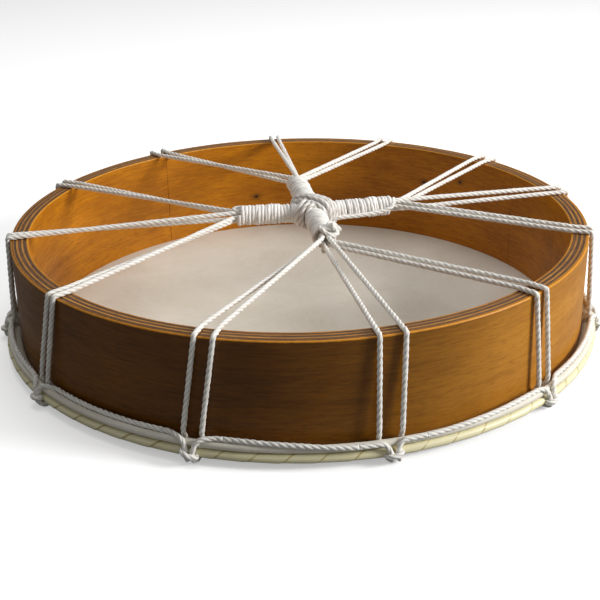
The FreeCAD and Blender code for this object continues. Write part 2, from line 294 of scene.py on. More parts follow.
def settle(thing: bpy.types.Object, material: bpy.types.Material, slot: str, *nodes: str) -> None:
    """Dress a piece, ride it on the drum and hide the design pieces that it stands for.

    Args:
        thing: the piece.
        material: its finish.
        slot: not used.
        nodes: the design's nodes that it replaces.
    """
    thing.data.materials.clear()
    thing.data.materials.append(material)
    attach(thing, "root")
    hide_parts(*nodes)
    log.info("%s: %d faces", thing.name, len(thing.data.polygons))


def smooth_line(route: list, step: float) -> np.ndarray:
    """Read evenly spaced points from the smooth spline that a route controls.

    Args:
        route: the route's points in millimetres.
        step: distance between the points that are returned.

    Returns:
        Points in millimetres, (n, 3).
    """
    curve = bpy.data.curves.new("route", "CURVE")
    curve.dimensions = "3D"
    spline = curve.splines.new("NURBS")
    spline.points.add(len(route) - 1)
    for spot, point in zip(spline.points, route):
        spot.co = (*point, 1.0)
    spline.use_endpoint_u = True
    spline.order_u = 3
    spline.resolution_u = 16
    carrier = bpy.data.objects.new("route", curve)
    mesh = bpy.data.meshes.new_from_object(carrier)
    points = np.array([vertex.co[:] for vertex in mesh.vertices])
    bpy.data.objects.remove(carrier)
    bpy.data.curves.remove(curve)
    bpy.data.meshes.remove(mesh)
    reach = walked(points)
    spots = np.linspace(0.0, reach[-1], max(int(reach[-1] / step), 4) + 1)
    return np.stack([np.interp(spots, reach, points[:, axis]) for axis in range(3)], -1)


@dataclass
class Rope:
    """A twisted cord that follows a line: lobes are its strands."""

    line: np.ndarray
    diameter: float
    pitch: float = 13.5
    lobes: int = 3
    fullness: float = 0.66
    per_lobe: int = 8
    phase: float = 0.0
    unevenness: float = 0.05

    def __post_init__(self) -> None:
        """Work out the frames and the twist along the line."""
        self.reach = walked(self.line)
        tangents = np.gradient(self.line, axis=0)
        tangents /= np.linalg.norm(tangents, axis=1)[:, None]
        side = np.cross(tangents[0], UP if abs(tangents[0][2]) < 0.9 else np.array((1.0, 0.0, 0.0)))
        sides = []
        for tangent in tangents:
            side = side - tangent * side.dot(tangent)
            side = side / np.linalg.norm(side)
            sides.append(side)
        self.sides = np.array(sides)
        self.ups = np.cross(tangents, self.sides)

    def outline(self) -> tuple:
        """Return the angles and radii of a strand bundle's outline, and how deep each point lies.

        Returns:
            Angles in radians, radii as a share of the cord's radius, and the crease depth from 0 to 1.
        """
        half = math.pi / self.lobes
        local = np.linspace(-half, half, self.per_lobe, endpoint=False)
        strand = self.fullness
        offset = 1.0 - strand
        radii = offset * np.cos(local) + np.sqrt(strand ** 2 - (offset * np.sin(local)) ** 2)
        angles = np.concatenate([local + 2 * half * lobe for lobe in range(self.lobes)])
        crease = np.abs(local) / half
        return angles, np.tile(radii, self.lobes), np.tile(crease, self.lobes)

    def mesh(self, name: str, first: int = 0, last: int = None) -> bpy.types.Object:
        """Make the stretch of cord between two points of the line.

        Args:
            name: the object's name.
            first: index of the stretch's first point.
            last: index of its last point, or None for the line's end.

        Returns:
            A closed mesh object with the crease depth stored per vertex.
        """
        last = len(self.line) - 1 if last is None else last
        keep = slice(first, last + 1)
        angles, radii, crease = self.outline()
        reach = self.reach[keep]
        turn = self.phase + 2 * math.pi * reach / self.pitch
        swell = 1.0 + self.unevenness * np.sin(reach * 0.31 + self.phase * 3) * np.sin(reach * 0.113)
        spin = turn[:, None] + angles[None, :]
        size = self.diameter / 2 * swell[:, None] * radii[None, :]
        points = (self.line[keep][:, None, :]
                  + self.sides[keep][:, None, :] * (np.cos(spin) * size)[..., None]
                  + self.ups[keep][:, None, :] * (np.sin(spin) * size)[..., None])
        around = np.linspace(0, math.pi * self.diameter, len(angles) + 1)
        thing = grid_mesh(name, points, reach, around)
        point_values(thing, "crease", np.tile(crease, len(reach)))
        return thing


# ---- finishes ----------------------------------------------------------------------------------
def rgb(red: float, green: float, blue: float) -> tuple:
    """Return a colour given as screen values from 0 to 255, as the shader's linear colour."""
    def linear(value: float) -> float:
        """Return one channel in linear light."""
        share = value / 255
        return share / 12.92 if share <= 0.04045 else ((share + 0.055) / 1.055) ** 2.4
    return linear(red), linear(green), linear(blue), 1.0


class Graph:
    """A small wrapper that adds and links shader nodes."""

    def __init__(self, tree: bpy.types.NodeTree) -> None:
        """Keep the tree to add to."""
        self.tree = tree

    def add(self, kind: str, inputs: dict = None, **settings: object) -> bpy.types.Node:
        """Add a node and set or link its inputs.

        Args:
            kind: the node's type.
            inputs: values or sockets by input name or number.
            settings: the node's own properties.

        Returns:
            The node.
        """
        node = self.tree.nodes.new(kind)
        for key, value in settings.items():
            setattr(node, key, value)
        for key, value in (inputs or {}).items():
            if isinstance(value, bpy.types.NodeSocket):
                self.tree.links.new(value, node.inputs[key])
            else:
                node.inputs[key].default_value = value
        return node

    def math(self, operation: str, *values: object) -> bpy.types.NodeSocket:
        """Return the result of a math node."""
        return self.add("ShaderNodeMath", dict(enumerate(values)), operation=operation).outputs[0]

    def mix(self, share: object, first: object, second: object) -> bpy.types.NodeSocket:
        """Return the mix of two colours."""
        return self.add("ShaderNodeMix", {0: share, 6: first, 7: second}, data_type="RGBA").outputs[2]

    def scaled_sum(self, first: object, factor: float, second: object) -> bpy.types.NodeSocket:
        """Return first times factor, plus second."""
        return self.math("ADD", self.math("MULTIPLY", first, factor), second)

    def send(self, node: bpy.types.Node, **values: bpy.types.NodeSocket) -> None:
        """Link values to a node's inputs by name."""
        for name, value in values.items():
            self.tree.links.new(value, node.inputs[name])

    def stretch(self, vector: object, scale: tuple) -> bpy.types.NodeSocket:
        """Return a vector scaled along each axis."""
        return self.add("ShaderNodeMapping", {"Vector": vector, "Scale": scale}).outputs[0]

    def noise(self, vector: object, scale: object, detail: float = 4.0, rough: float = 0.55,
              distortion: float = 0.0) -> bpy.types.NodeSocket:
        """Return noise from 0 to 1."""
        return self.add("ShaderNodeTexNoise", {"Vector": vector, "Scale": scale, "Detail": detail,
                                               "Roughness": rough, "Distortion": distortion}).outputs[0]

    def ramp(self, value: object, low: float, high: float) -> bpy.types.NodeSocket:
        """Return a value stretched so that low is 0 and high is 1, and clamped."""
        node = self.add("ShaderNodeMapRange", {0: value, 1: low, 2: high}, interpolation_type="SMOOTHSTEP")
        return node.outputs[0]


def new_group(name: str, inputs: dict, outputs: dict) -> tuple:
    """Start a node group with named sockets.

    Args:
        name: the group's name.
        inputs: socket type by input name, with a default value.
        outputs: socket type by output name.

    Returns:
        The group, its graph, and the nodes that hold its inputs and outputs.
    """
    group = bpy.data.node_groups.new(name, "ShaderNodeTree")
    for label, (kind, value) in inputs.items():
        socket = group.interface.new_socket(label, in_out="INPUT", socket_type=kind)
        if value is not None:
            socket.default_value = value
    for label, kind in outputs.items():
        group.interface.new_socket(label, in_out="OUTPUT", socket_type=kind)
    graph = Graph(group)
    return group, graph, group.nodes.new("NodeGroupInput"), group.nodes.new("NodeGroupOutput")


def wood_grain_group() -> bpy.types.NodeTree:
    """Make the group that draws stained wood grain along U, with pores, figure and height."""
    group, graph, given, result = new_group(
        "wood_grain",
        {"Vector": ("NodeSocketVector", None), "Light": ("NodeSocketColor", None),
         "Dark": ("NodeSocketColor", None), "Pores": ("NodeSocketFloat", 0.5),
         "Figure": ("NodeSocketFloat", 0.5)},
        {"Color": "NodeSocketColor", "Height": "NodeSocketFloat", "Streak": "NodeSocketFloat"})
    place = given.outputs["Vector"]
    drift = graph.noise(graph.stretch(place, (6.0, 14.0, 6.0)), 1.0, 3.0)
    shift = graph.add("ShaderNodeCombineXYZ", {1: graph.math("MULTIPLY", drift, 0.005)}).outputs[0]
    bent = graph.add("ShaderNodeVectorMath", {0: place, 1: shift}, operation="ADD").outputs[0]
    broad = graph.noise(graph.stretch(bent, (5.0, 70.0, 40.0)), 1.0, 4.0, 0.6, 0.4)
    fine = graph.noise(graph.stretch(bent, (55.0, 560.0, 300.0)), 1.0, 4.0, 0.7)
    pores = graph.ramp(graph.noise(graph.stretch(bent, (110.0, 900.0, 900.0)), 1.0, 3.0, 0.6), 0.54, 0.66)
    cloud = graph.noise(graph.stretch(place, (14.0, 24.0, 18.0)), 1.0, 3.0)
    streak = graph.ramp(graph.scaled_sum(broad, 0.45, graph.math("MULTIPLY", fine, 0.55)), 0.36, 0.66)
    tone = graph.math("ADD", graph.math("MULTIPLY", streak, given.outputs["Figure"]),
                      graph.math("MULTIPLY", graph.ramp(cloud, 0.3, 0.7), 0.35))
    colour = graph.mix(tone, given.outputs["Light"], given.outputs["Dark"])
    speck = graph.math("MULTIPLY", pores, given.outputs["Pores"])
    colour = graph.mix(graph.math("MULTIPLY", speck, 0.85), colour, given.outputs["Dark"])
    height = graph.math("SUBTRACT", graph.math("MULTIPLY", fine, 0.6), graph.math("MULTIPLY", speck, 0.8))
    graph.send(result, Color=colour, Height=height, Streak=streak)
    return group


def mottle_group() -> bpy.types.NodeTree:
    """Make the group that blends two colours in soft blotches with small specks."""
    group, graph, given, result = new_group(
        "mottle",
        {"Vector": ("NodeSocketVector", None), "Base": ("NodeSocketColor", None),
         "Blotch": ("NodeSocketColor", None), "Speck": ("NodeSocketColor", None),
         "Size": ("NodeSocketFloat", 20.0), "Amount": ("NodeSocketFloat", 0.5)},
        {"Color": "NodeSocketColor", "Height": "NodeSocketFloat"})
    place = given.outputs["Vector"]
    size = given.outputs["Size"]
    large = graph.ramp(graph.noise(place, size, 5.0, 0.62, 0.6), 0.38, 0.68)
    small = graph.ramp(graph.noise(place, graph.math("MULTIPLY", size, 9.0), 4.0, 0.6), 0.35, 0.75)
    specks = graph.ramp(graph.noise(place, graph.math("MULTIPLY", size, 22.0), 2.0, 0.5), 0.68, 0.78)
    mask = graph.math("MULTIPLY", graph.scaled_sum(large, 0.7, graph.math("MULTIPLY", small, 0.3)),
                      given.outputs["Amount"])
    colour = graph.mix(mask, given.outputs["Base"], given.outputs["Blotch"])
    colour = graph.mix(graph.math("MULTIPLY", specks, 0.5), colour, given.outputs["Speck"])
    graph.send(result, Color=colour, Height=graph.scaled_sum(small, 0.6, large))
    return group


def edge_wear_group() -> bpy.types.NodeTree:
    """Make the group that turns a stored edge value into a broken, worn mask."""
    group, graph, given, result = new_group(
        "edge_wear",
        {"Vector": ("NodeSocketVector", None), "Edge": ("NodeSocketFloat", 0.0),
         "Size": ("NodeSocketFloat", 300.0), "Reach": ("NodeSocketFloat", 0.5)},
        {"Mask": "NodeSocketFloat"})
    ragged = graph.noise(given.outputs["Vector"], given.outputs["Size"], 4.0, 0.65)
    level = graph.math("ADD", given.outputs["Edge"], graph.math("SUBTRACT", ragged, 0.5))
    start = graph.math("SUBTRACT", 1.0, given.outputs["Reach"])
    mask = graph.add("ShaderNodeMapRange", {0: level, 1: start, 2: 1.0}).outputs[0]
    graph.send(result, Mask=mask)
    return group


def fibre_group() -> bpy.types.NodeTree:
    """Make the group that draws the fine yarns of a twisted cord from its lengthwise UV map, and paints shade
    into its creases.
    """
    group, graph, given, result = new_group(
        "fibre",
        {"Vector": ("NodeSocketVector", None), "Crease": ("NodeSocketFloat", 0.0),
         "Clean": ("NodeSocketColor", None), "Shade": ("NodeSocketColor", None),
         "Yarns": ("NodeSocketFloat", 1.0)},
        {"Color": "NodeSocketColor", "Height": "NodeSocketFloat"})
    parts = graph.add("ShaderNodeSeparateXYZ", {0: given.outputs["Vector"]})
    slant = graph.scaled_sum(parts.outputs[0], 900.0, graph.math("MULTIPLY", parts.outputs[1], 2600.0))
    wave = graph.math("SINE", graph.math("MULTIPLY", slant, given.outputs["Yarns"]))
    lines = graph.math("MULTIPLY", wave, 0.5)
    fuzz = graph.noise(graph.stretch(given.outputs["Vector"], (500.0, 2400.0, 500.0)), 1.0, 3.0, 0.6)
    soil_and_shade = graph.noise(graph.stretch(given.outputs["Vector"], (45.0, 160.0, 60.0)), 1.0, 3.0, 0.6)
    # painted shade in the creases, plus random soil from the noise above
    shade = graph.scaled_sum(graph.math("POWER", given.outputs["Crease"], 2.5), 0.75,
                             graph.math("MULTIPLY", graph.ramp(soil_and_shade, 0.42, 0.8), 0.45))
    colour = graph.mix(shade, given.outputs["Clean"], given.outputs["Shade"])
    height = graph.scaled_sum(lines, 0.5, fuzz)
    graph.send(result, Color=colour, Height=height)
    return group


@dataclass
class Library:
    """The shader groups, each made once."""

    grain: bpy.types.NodeTree = field(default_factory=wood_grain_group)
    mottle: bpy.types.NodeTree = field(default_factory=mottle_group)
    wear: bpy.types.NodeTree = field(default_factory=edge_wear_group)
    fibre: bpy.types.NodeTree = field(default_factory=fibre_group)


class Finish:
    """A material in the making: a Principled shader and a graph that feeds it."""

    def __init__(self, name: str, roughness: float) -> None:
        """Start a material with its own shader and a UV source.

        Args:
            name: the material's name.
            roughness: the shader's roughness where nothing else feeds it.
        """
        self.material = bpy.data.materials.new(name)
        self.material.use_nodes = True
        self.graph = Graph(self.material.node_tree)
        self.shader = self.material.node_tree.nodes["Principled BSDF"]
        self.shader.inputs["Roughness"].default_value = roughness
        self.uv = self.graph.add("ShaderNodeUVMap", uv_map="UVMap").outputs[0]

    def stored(self, name: str) -> bpy.types.NodeSocket:
        """Return a number that the mesh stores at each vertex."""
        return self.graph.add("ShaderNodeAttribute", attribute_name=name).outputs["Fac"]

    def group(self, tree: bpy.types.NodeTree, inputs: dict) -> bpy.types.Node:
        """Place a shared group with its own values."""
        return self.graph.add("ShaderNodeGroup", inputs, node_tree=tree)

    def feed(self, socket: str, value: bpy.types.NodeSocket) -> None:
        """Link a value to one of the shader's inputs."""
        self.material.node_tree.links.new(value, self.shader.inputs[socket])

    def bump(self, height: bpy.types.NodeSocket, strength: float, distance: float) -> None:
        """Feed the shader's normal from a height; distance is in metres."""
        values = {"Height": height, "Strength": strength, "Distance": distance}
        self.feed("Normal", self.graph.add("ShaderNodeBump", values).outputs[0])


@dataclass(frozen=True)
class Knot:
    """A knot in the veneer: its place along the hoop in degrees, its height and its half-size in mm."""

    degrees: float
    height: float
    size: float


@dataclass(frozen=True)
class StainedVeneer:
    """The clear-coated face of a face ply.

    light and dark are the wood's two tones. Where the pale pair is given, it takes over as the mesh's tone
    value goes from 0 to
    1. This pale pair is painted light: it draws the key light's side of the wall lighter.
    """

    name: str
    light: tuple
    dark: tuple
    worn: tuple
    knots: tuple = ()
    lit_side_light: tuple = ()
    lit_side_dark: tuple = ()
    knot_dark: tuple = (0.035, 0.014, 0.004, 1.0)
    roughness: float = 0.4

    def build(self, library: Library) -> bpy.types.Material:
        """Make the material.

        Args:
            library: the shared groups.

        Returns:
            The material.
        """
        finish = Finish(self.name, self.roughness)
        graph = finish.graph
        light, dark = self.light, self.dark
        # painted light: the pale pair lightens the wall where the stored tone marks the key light's side
        if self.lit_side_light:
            tone = finish.stored("tone")
            light, dark = graph.mix(tone, light, self.lit_side_light), graph.mix(tone, dark, self.lit_side_dark)
        grain = finish.group(library.grain, {"Vector": finish.uv, "Light": light, "Dark": dark,
                                             "Pores": 0.75, "Figure": 0.6})
        colour = grain.outputs["Color"]
        for knot in self.knots:
            colour = self.add_knot(finish, colour, knot)
        wear = finish.group(library.wear, {"Vector": finish.uv, "Edge": finish.stored("edge"),
                                           "Size": 260.0, "Reach": 0.75})
        colour = graph.mix(wear.outputs["Mask"], colour, self.worn)
        finish.feed("Base Color", colour)
        finish.feed("Roughness", graph.scaled_sum(grain.outputs["Streak"], 0.10, self.roughness - 0.05))
        finish.bump(grain.outputs["Height"], 0.22, 0.0002)
        finish.shader.inputs["Coat Weight"].default_value = 0.05
        finish.shader.inputs["Coat Roughness"].default_value = 0.3
        finish.shader.inputs["Specular IOR Level"].default_value = 0.25
        return finish.material

    def add_knot(self, finish: Finish, colour: bpy.types.NodeSocket, knot: Knot) -> bpy.types.NodeSocket:
        """Return the colour with one knot drawn into it.

        Args:
            finish: the material in the making.
            colour: the wood's colour so far.
            knot: the knot's place and size.

        Returns:
            The colour with the knot.
        """
        graph = finish.graph
        centre = (math.radians(knot.degrees) * PLAN.hoop_radius * MM, knot.height * MM, 0.0)
        local = graph.add("ShaderNodeMapping", {"Vector": finish.uv, "Location": centre,
                                                "Scale": (1.5 * knot.size * MM, knot.size * MM, 1.0)},
                          vector_type="TEXTURE").outputs[0]
        uneven = graph.add("ShaderNodeTexNoise", {"Vector": local, "Scale": 2.2, "Detail": 3.0}).outputs[1]
        rough = graph.add("ShaderNodeVectorMath", {0: local, 1: uneven}, operation="ADD").outputs[0]
        middle = (0.5, 0.5, 0.5)
        moved = graph.add("ShaderNodeVectorMath", {0: rough, 1: middle}, operation="SUBTRACT").outputs[0]
        far = graph.add("ShaderNodeVectorMath", {0: moved}, operation="LENGTH").outputs["Value"]
        core = graph.ramp(far, 0.75, 0.35)
        halo = graph.math("MULTIPLY", graph.ramp(far, 2.2, 0.4), 0.42)
        return graph.mix(graph.math("MAXIMUM", core, halo), colour, self.knot_dark)


@dataclass(frozen=True)
class CutPly:
    """The sawn and sanded edge of a ply, long grain or cross grain."""

    name: str
    light: tuple
    dark: tuple
    cross: bool
    glue: tuple = (0.022, 0.011, 0.004, 1.0)

    def build(self, library: Library) -> bpy.types.Material:
        """Make the material.

        Args:
            library: the shared groups.

        Returns:
            The material.
        """
        finish = Finish(self.name, 0.55)
        graph = finish.graph
        grain = finish.group(library.grain, {"Vector": finish.uv, "Light": self.light, "Dark": self.dark,
                                             "Pores": 0.9, "Figure": 0.8})
        colour = grain.outputs["Color"]
        height = grain.outputs["Height"]
        if self.cross:
            ends = graph.noise(graph.stretch(finish.uv, (1500.0, 700.0, 1.0)), 1.0, 3.0, 0.7)
            dots = graph.ramp(ends, 0.45, 0.7)
            colour = graph.mix(graph.math("MULTIPLY", dots, 0.7), colour, self.dark)
            height = graph.math("SUBTRACT", height, dots)
        lines = finish.group(library.wear, {"Vector": finish.uv, "Edge": finish.stored("edge"),
                                            "Size": 500.0, "Reach": 0.62})
        colour = graph.mix(graph.math("MULTIPLY", lines.outputs["Mask"], 0.85), colour, self.glue)
        finish.feed("Base Color", colour)
        finish.bump(height, 0.5, 0.00025)
        finish.shader.inputs["Coat Weight"].default_value = 0.12
        finish.shader.inputs["Coat Roughness"].default_value = 0.4
        return finish.material


@dataclass(frozen=True)
class Hide:
    """Rawhide: cream, faintly blotched and veined, with painted shade where it meets the hoop."""

    name: str
    base: tuple
    blotch: tuple
    speck: tuple
    size: float = 18.0
    roughness: float = 0.62

    def build(self, library: Library) -> bpy.types.Material:
        """Make the material.

        Args:
            library: the shared groups.

        Returns:
            The material.
        """
        finish = Finish(self.name, self.roughness)
        graph = finish.graph
        place = graph.add("ShaderNodeTexCoord").outputs["Object"]
        mottle = finish.group(library.mottle, {"Vector": place, "Base": self.base, "Blotch": self.blotch,
                                               "Speck": self.speck, "Size": self.size, "Amount": 0.75})
        veins = graph.ramp(graph.add("ShaderNodeTexNoise", {
            "Vector": place, "Scale": 14.0, "Detail": 2.0, "Distortion": 2.5}).outputs[0], 0.49, 0.505)
        thin = graph.math("MULTIPLY", graph.math("MULTIPLY", veins, graph.math("SUBTRACT", 1.0, veins)), 0.55)
        colour = graph.mix(thin, mottle.outputs["Color"], self.speck)
        # painted shade where the head meets the hoop, from the stored edge value
        soil_and_shade = finish.group(library.wear, {"Vector": place, "Edge": finish.stored("edge"), "Size": 120.0,
                                           "Reach": 0.7})
        colour = graph.mix(graph.math("MULTIPLY", soil_and_shade.outputs["Mask"], 0.55), colour, self.speck)
        finish.feed("Base Color", colour)
        finish.bump(mottle.outputs["Height"], 0.18, 0.0004)
        finish.shader.inputs["Sheen Weight"].default_value = 0.08
        return finish.material


@dataclass(frozen=True)
class WrappedStrip:
    """The flat strip wound round the tension ring, darker along each lap."""

    name: str
    base: tuple
    blotch: tuple
    lap: tuple

    def build(self, library: Library) -> bpy.types.Material:
        """Make the material.

        Args:
            library: the shared groups.

        Returns:
            The material.
        """
        finish = Finish(self.name, 0.42)
        graph = finish.graph
        mottle = finish.group(library.mottle, {"Vector": finish.uv, "Base": self.base, "Blotch": self.blotch,
                                               "Speck": self.lap, "Size": 60.0, "Amount": 0.6})
        lap = graph.ramp(finish.stored("edge"), 0.35, 0.95)
        broken = graph.ramp(graph.noise(finish.uv, 90.0, 3.0), 0.3, 0.6)
        colour = graph.mix(graph.math("MULTIPLY", lap, graph.scaled_sum(broken, 0.5, 0.4)),
                           mottle.outputs["Color"], self.lap)
        finish.feed("Base Color", colour)
        fibres = graph.noise(graph.stretch(finish.uv, (1400.0, 160.0, 1.0)), 1.0, 3.0)
        finish.bump(graph.math("ADD", mottle.outputs["Height"], fibres), 0.16, 0.0003)
        return finish.material


@dataclass(frozen=True)
class TwistedCord:
    """Off-white cotton cord, with painted shade greying its creases."""

    name: str
    clean: tuple
    shade: tuple
    yarns: float = 1.0

    def build(self, library: Library) -> bpy.types.Material:
        """Make the material.

        Args:
            library: the shared groups.

        Returns:
            The material.
        """
        finish = Finish(self.name, 0.68)
        fibre = finish.group(library.fibre, {"Vector": finish.uv, "Crease": finish.stored("crease"),
                                             "Clean": self.clean, "Shade": self.shade, "Yarns": self.yarns})
        finish.feed("Base Color", fibre.outputs["Color"])
        finish.bump(fibre.outputs["Height"], 0.35, 0.00015)
        finish.shader.inputs["Sheen Weight"].default_value = 0.25
        finish.shader.inputs["Sheen Roughness"].default_value = 0.5
        return finish.material


# ---- hoop --------------------------------------------------------------------------------------
@dataclass
class Hoop:
    """The laminated hoop: seven bent plies, the face plies butted at their seams.

    The (degrees, tone) table below sets the outer veneer's tone round the hoop: 0 is its dark stain and 1 its
    pale colour.
    The step at the 204° seam is a real change of veneer. The broad swing is painted light and shade: palest
    at 345° on the key light's side and darkest on the shaded front-left.
    """

    segments: int = 720
    seam_gap: float = 0.35
    glue_groove: float = 0.14
    top_bevel: float = 0.8
    foot_round: float = 2.0
    # painted light and shade: tone peaks on the key light's side at 345° and falls to 0 on the shaded
    # front-left
    stain_and_light: tuple = ((0, 0.9), (60, 0.7), (150, 0.4), (204, 0.15), (206, 0.3), (225, 0.05),
                    (262, 0.0), (284, 0.2), (306, 0.8), (345, 1.0), (360, 0.9))
    names: tuple = ("hoop_outer_ply", "hoop_cross_ply_1", "hoop_core_ply_1", "hoop_cross_ply_2",
                    "hoop_core_ply_2", "hoop_cross_ply_3", "hoop_inner_ply")

    def section(self, outer: float, inner: float, is_outer: bool, is_inner: bool) -> list:
        """Return one ply's outline, from its outer foot upward and back down its inner face.

        Args:
            outer: the ply's outer radius.
            inner: its inner radius.
            is_outer: whether it is the outer face ply.
            is_inner: whether it is the inner face ply.

        Returns:
            (radius, height, edge value) for each corner; 1 is a corner that shows wear or glue.
        """
        foot = PLAN.skin
        top = PLAN.rim_z
        ease = self.top_bevel if is_outer else self.glue_groove
        low = self.foot_round if is_outer else self.glue_groove
        near = 0.5 if is_inner else self.glue_groove
        heights = np.linspace(foot + low + 0.5, top - ease - 1.2, 7)
        outline = [(outer - low, foot, 0.6), (outer - low * 0.3, foot + low * 0.3, 0.5),
                   (outer, foot + low, 0.4)]
        outline += [(outer, height, 0.0) for height in heights]
        outline += [(outer, top - ease - 0.4, 0.25), (outer, top - ease, 0.8)]
        outline += [(outer - ease * 0.32, top - ease * 0.28, 1.0), (outer - ease, top, 0.9)]
        outline += [(outer - ease - 0.22, top, 0.35), ((outer + inner) / 2, top, 0.0),
                    (inner + near + 0.2, top, 0.35)]
        outline += [(inner + near, top, 0.9), (inner + near * 0.3, top - near * 0.3, 1.0),
                    (inner, top - near, 0.8)]
        outline += [(inner, top - near - 0.5, 0.25)]
        outline += [(inner, height, 0.0) for height in heights[::-1]]
        outline += [(inner, foot + 0.3, 0.3), (inner + 0.2, foot, 0.5)]
        return outline

    def stretch_of_ply(self, name: str, outline: list, start: float, end: float, is_face: bool,
                       seed: float) -> bpy.types.Object:
        """Make the part of a ply between two angles, or all of it.

        Args:
            name: the object's name.
            outline: the ply's section.
            start: first angle in degrees.
            end: last angle in degrees; 360 past start closes the ring.
            is_face: whether the ply has open butt joints at its ends.
            seed: makes its unevenness its own.

        Returns:
            The mesh object.
        """
        closed = not is_face
        gap = math.degrees(self.seam_gap / 2 / PLAN.hoop_radius) if is_face else 0.0
        count = max(int(self.segments * (end - start) / 360), 8)
        angles = np.radians(np.linspace(start + gap, end - gap, count + (not closed), endpoint=not closed))
        section = np.array(outline)
        radii, heights, edges = section.T
        grid = np.zeros((len(angles), len(section), 3))
        uneven = ring_noise(angles, 9.0, seed, seed)
        fray = ring_noise(angles, 160.0, 5.0, seed)
        on_top = (heights > PLAN.rim_z - 1.0).astype(float)
        lift = on_top[None, :] * (0.10 * uneven[:, None] + 0.05 * fray[:, None] - 0.10)
        grid[..., 0] = np.cos(angles)[:, None] * radii[None, :]
        grid[..., 1] = np.sin(angles)[:, None] * radii[None, :]
        grid[..., 2] = heights[None, :] + lift
        around = walked(np.concatenate([section, section[:1]])[:, :2])
        outer_corner = 2
        around = around - around[outer_corner] + heights[outer_corner]
        length = PLAN.hoop_radius * (angles if not closed else np.append(angles, angles[0] + 2 * math.pi))
        thing = grid_mesh(name, grid, length + seed * 211.0 * (not is_face), around, loop_along=closed)
        point_values(thing, "edge", np.tile(edges, len(angles)))
        # painted light and shade round the outer wall, read from the table by angle
        stain_and_light = np.interp(np.degrees(angles) % 360, *zip(*self.stain_and_light))
        point_values(thing, "tone", np.repeat(stain_and_light, len(section)))
        thing.data.set_sharp_from_angle(angle=math.radians(50))
        return thing

    def build(self, finishes: dict) -> None:
        """Make all plies.

        Args:
            finishes: materials by ply name.
        """
        outer = PLAN.hoop_radius
        last = len(self.names) - 1
        seams = {0: PLAN.outer_seams, last: PLAN.inner_seams}
        for index, (name, thickness) in enumerate(zip(self.names, PLAN.plies)):
            inner = outer - thickness
            outline = self.section(outer, inner, index == 0, index == last)
            joints = seams.get(index, (0.0,))
            spans = list(zip(joints, joints[1:] + (joints[0] + 360.0,)))
            for number, (start, end) in enumerate(spans, 1):
                node = name if len(spans) == 1 else f"{name}_{number}"
                strip = self.stretch_of_ply(f"{node}_veneer", outline, start, end, index in seams,
                                            seed=index + start / 50)
                settle(strip, finishes[name], self.slot(index, last), node)
            outer = inner

    @staticmethod
    def slot(index: int, last: int) -> str:
        """Return the material slot of a ply by its place in the wall."""
        if index in (0, last):
            return "amber_face_ply"
        return "brown_cross_ply" if index % 2 else "golden_core_ply"


# ---- head and rings ----------------------------------------------------------------------------
@dataclass
class Head:
    """The rawhide skin: flat head, bend, collar, and its edge rolled over the flesh ring."""

    segments: int = 480
    sag: float = 0.12
    skin_gap: float = 0.05
    bend_round: float = 2.0
    flat_rows: int = 38

    def middle_line(self) -> list:
        """Return the skin's mid-thickness line as (radius, height), from the centre outward."""
        half = PLAN.skin / 2
        collar = PLAN.hoop_radius + self.skin_gap + half
        bend = self.bend_round + half
        centre = (collar - bend, half + bend)
        line = [(2.0, half)] + [(radius, half) for radius in np.linspace(8, centre[0] - 2, 40)]
        for turn in np.linspace(-90, 0, 6):
            line.append((centre[0] + bend * math.cos(math.radians(turn)),
                         centre[1] + bend * math.sin(math.radians(turn))))
        line += [(collar, height) for height in (4.6, 6.2, 7.6)]
        ring_radius, ring_height = PLAN.roll_ring
        around = PLAN.roll_radius - half
        line += [(collar + 0.8, 9.0), (collar + 2.2, 10.0)]
        for turn in np.linspace(-130, 190, 30):
            line.append((ring_radius + around * math.cos(math.radians(turn)),
                         ring_height + around * math.sin(math.radians(turn))))
        return line

    def build(self, material: bpy.types.Material) -> None:
        """Args:
            material: the rawhide finish.
        """
        line = np.array(self.middle_line())
        direction = np.gradient(line, axis=0)
        direction /= np.linalg.norm(direction, axis=1)[:, None]
        across = np.stack([-direction[:, 1], direction[:, 0]], -1) * PLAN.skin / 2 * 0.98
        outline = np.concatenate([line + across, (line - across)[::-1]])
        walk = walked(line)
        reach = np.concatenate([walk, walk[::-1]])
        angles = np.linspace(0, 2 * math.pi, self.segments, endpoint=False)
        grid = np.zeros((len(outline), len(angles), 3))
        pleat = ring_noise(angles, 60.0, 2.0)
        swell = ring_noise(angles, 14.0, 7.0)
        on_roll = np.clip((reach - walk[-1] + 18.0) / 6.0, 0.0, 1.0)
        middle = np.array(PLAN.roll_ring)
        away = outline - middle
        size = np.linalg.norm(away, axis=1)[:, None]
        bulge = on_roll[:, None] * (0.10 * pleat + 0.16 * swell)[None, :]
        radial = outline[:, 0][:, None] + (away[:, 0][:, None] / size) * bulge
        height = outline[:, 1][:, None] + (away[:, 1][:, None] / size) * bulge
        grid[..., 0] = radial * np.cos(angles)
        grid[..., 1] = radial * np.sin(angles)
        grid[..., 2] = height
        ripple = np.arange(len(outline)) < self.flat_rows
        spots = grid[ripple].reshape(-1, 3)
        grid[ripple, :, 2] += (self.sag * wobble(spots, 45.0, 3.0)).reshape(-1, len(angles))
        around = np.linspace(0, 2 * math.pi * PLAN.roll_ring[0], len(angles) + 1)
        skin = grid_mesh("drum_head_skin", grid, reach, around)
        # painted shade: darker towards the hoop's inner wall and on the collar tucked behind the rings
        corner_shade = np.clip((reach - 185.0) / 14.0, 0.0, 0.75) * (1.0 - on_roll)
        point_values(skin, "edge", np.repeat(corner_shade, len(angles)))
        settle(skin, material, "rawhide", "drum_head")


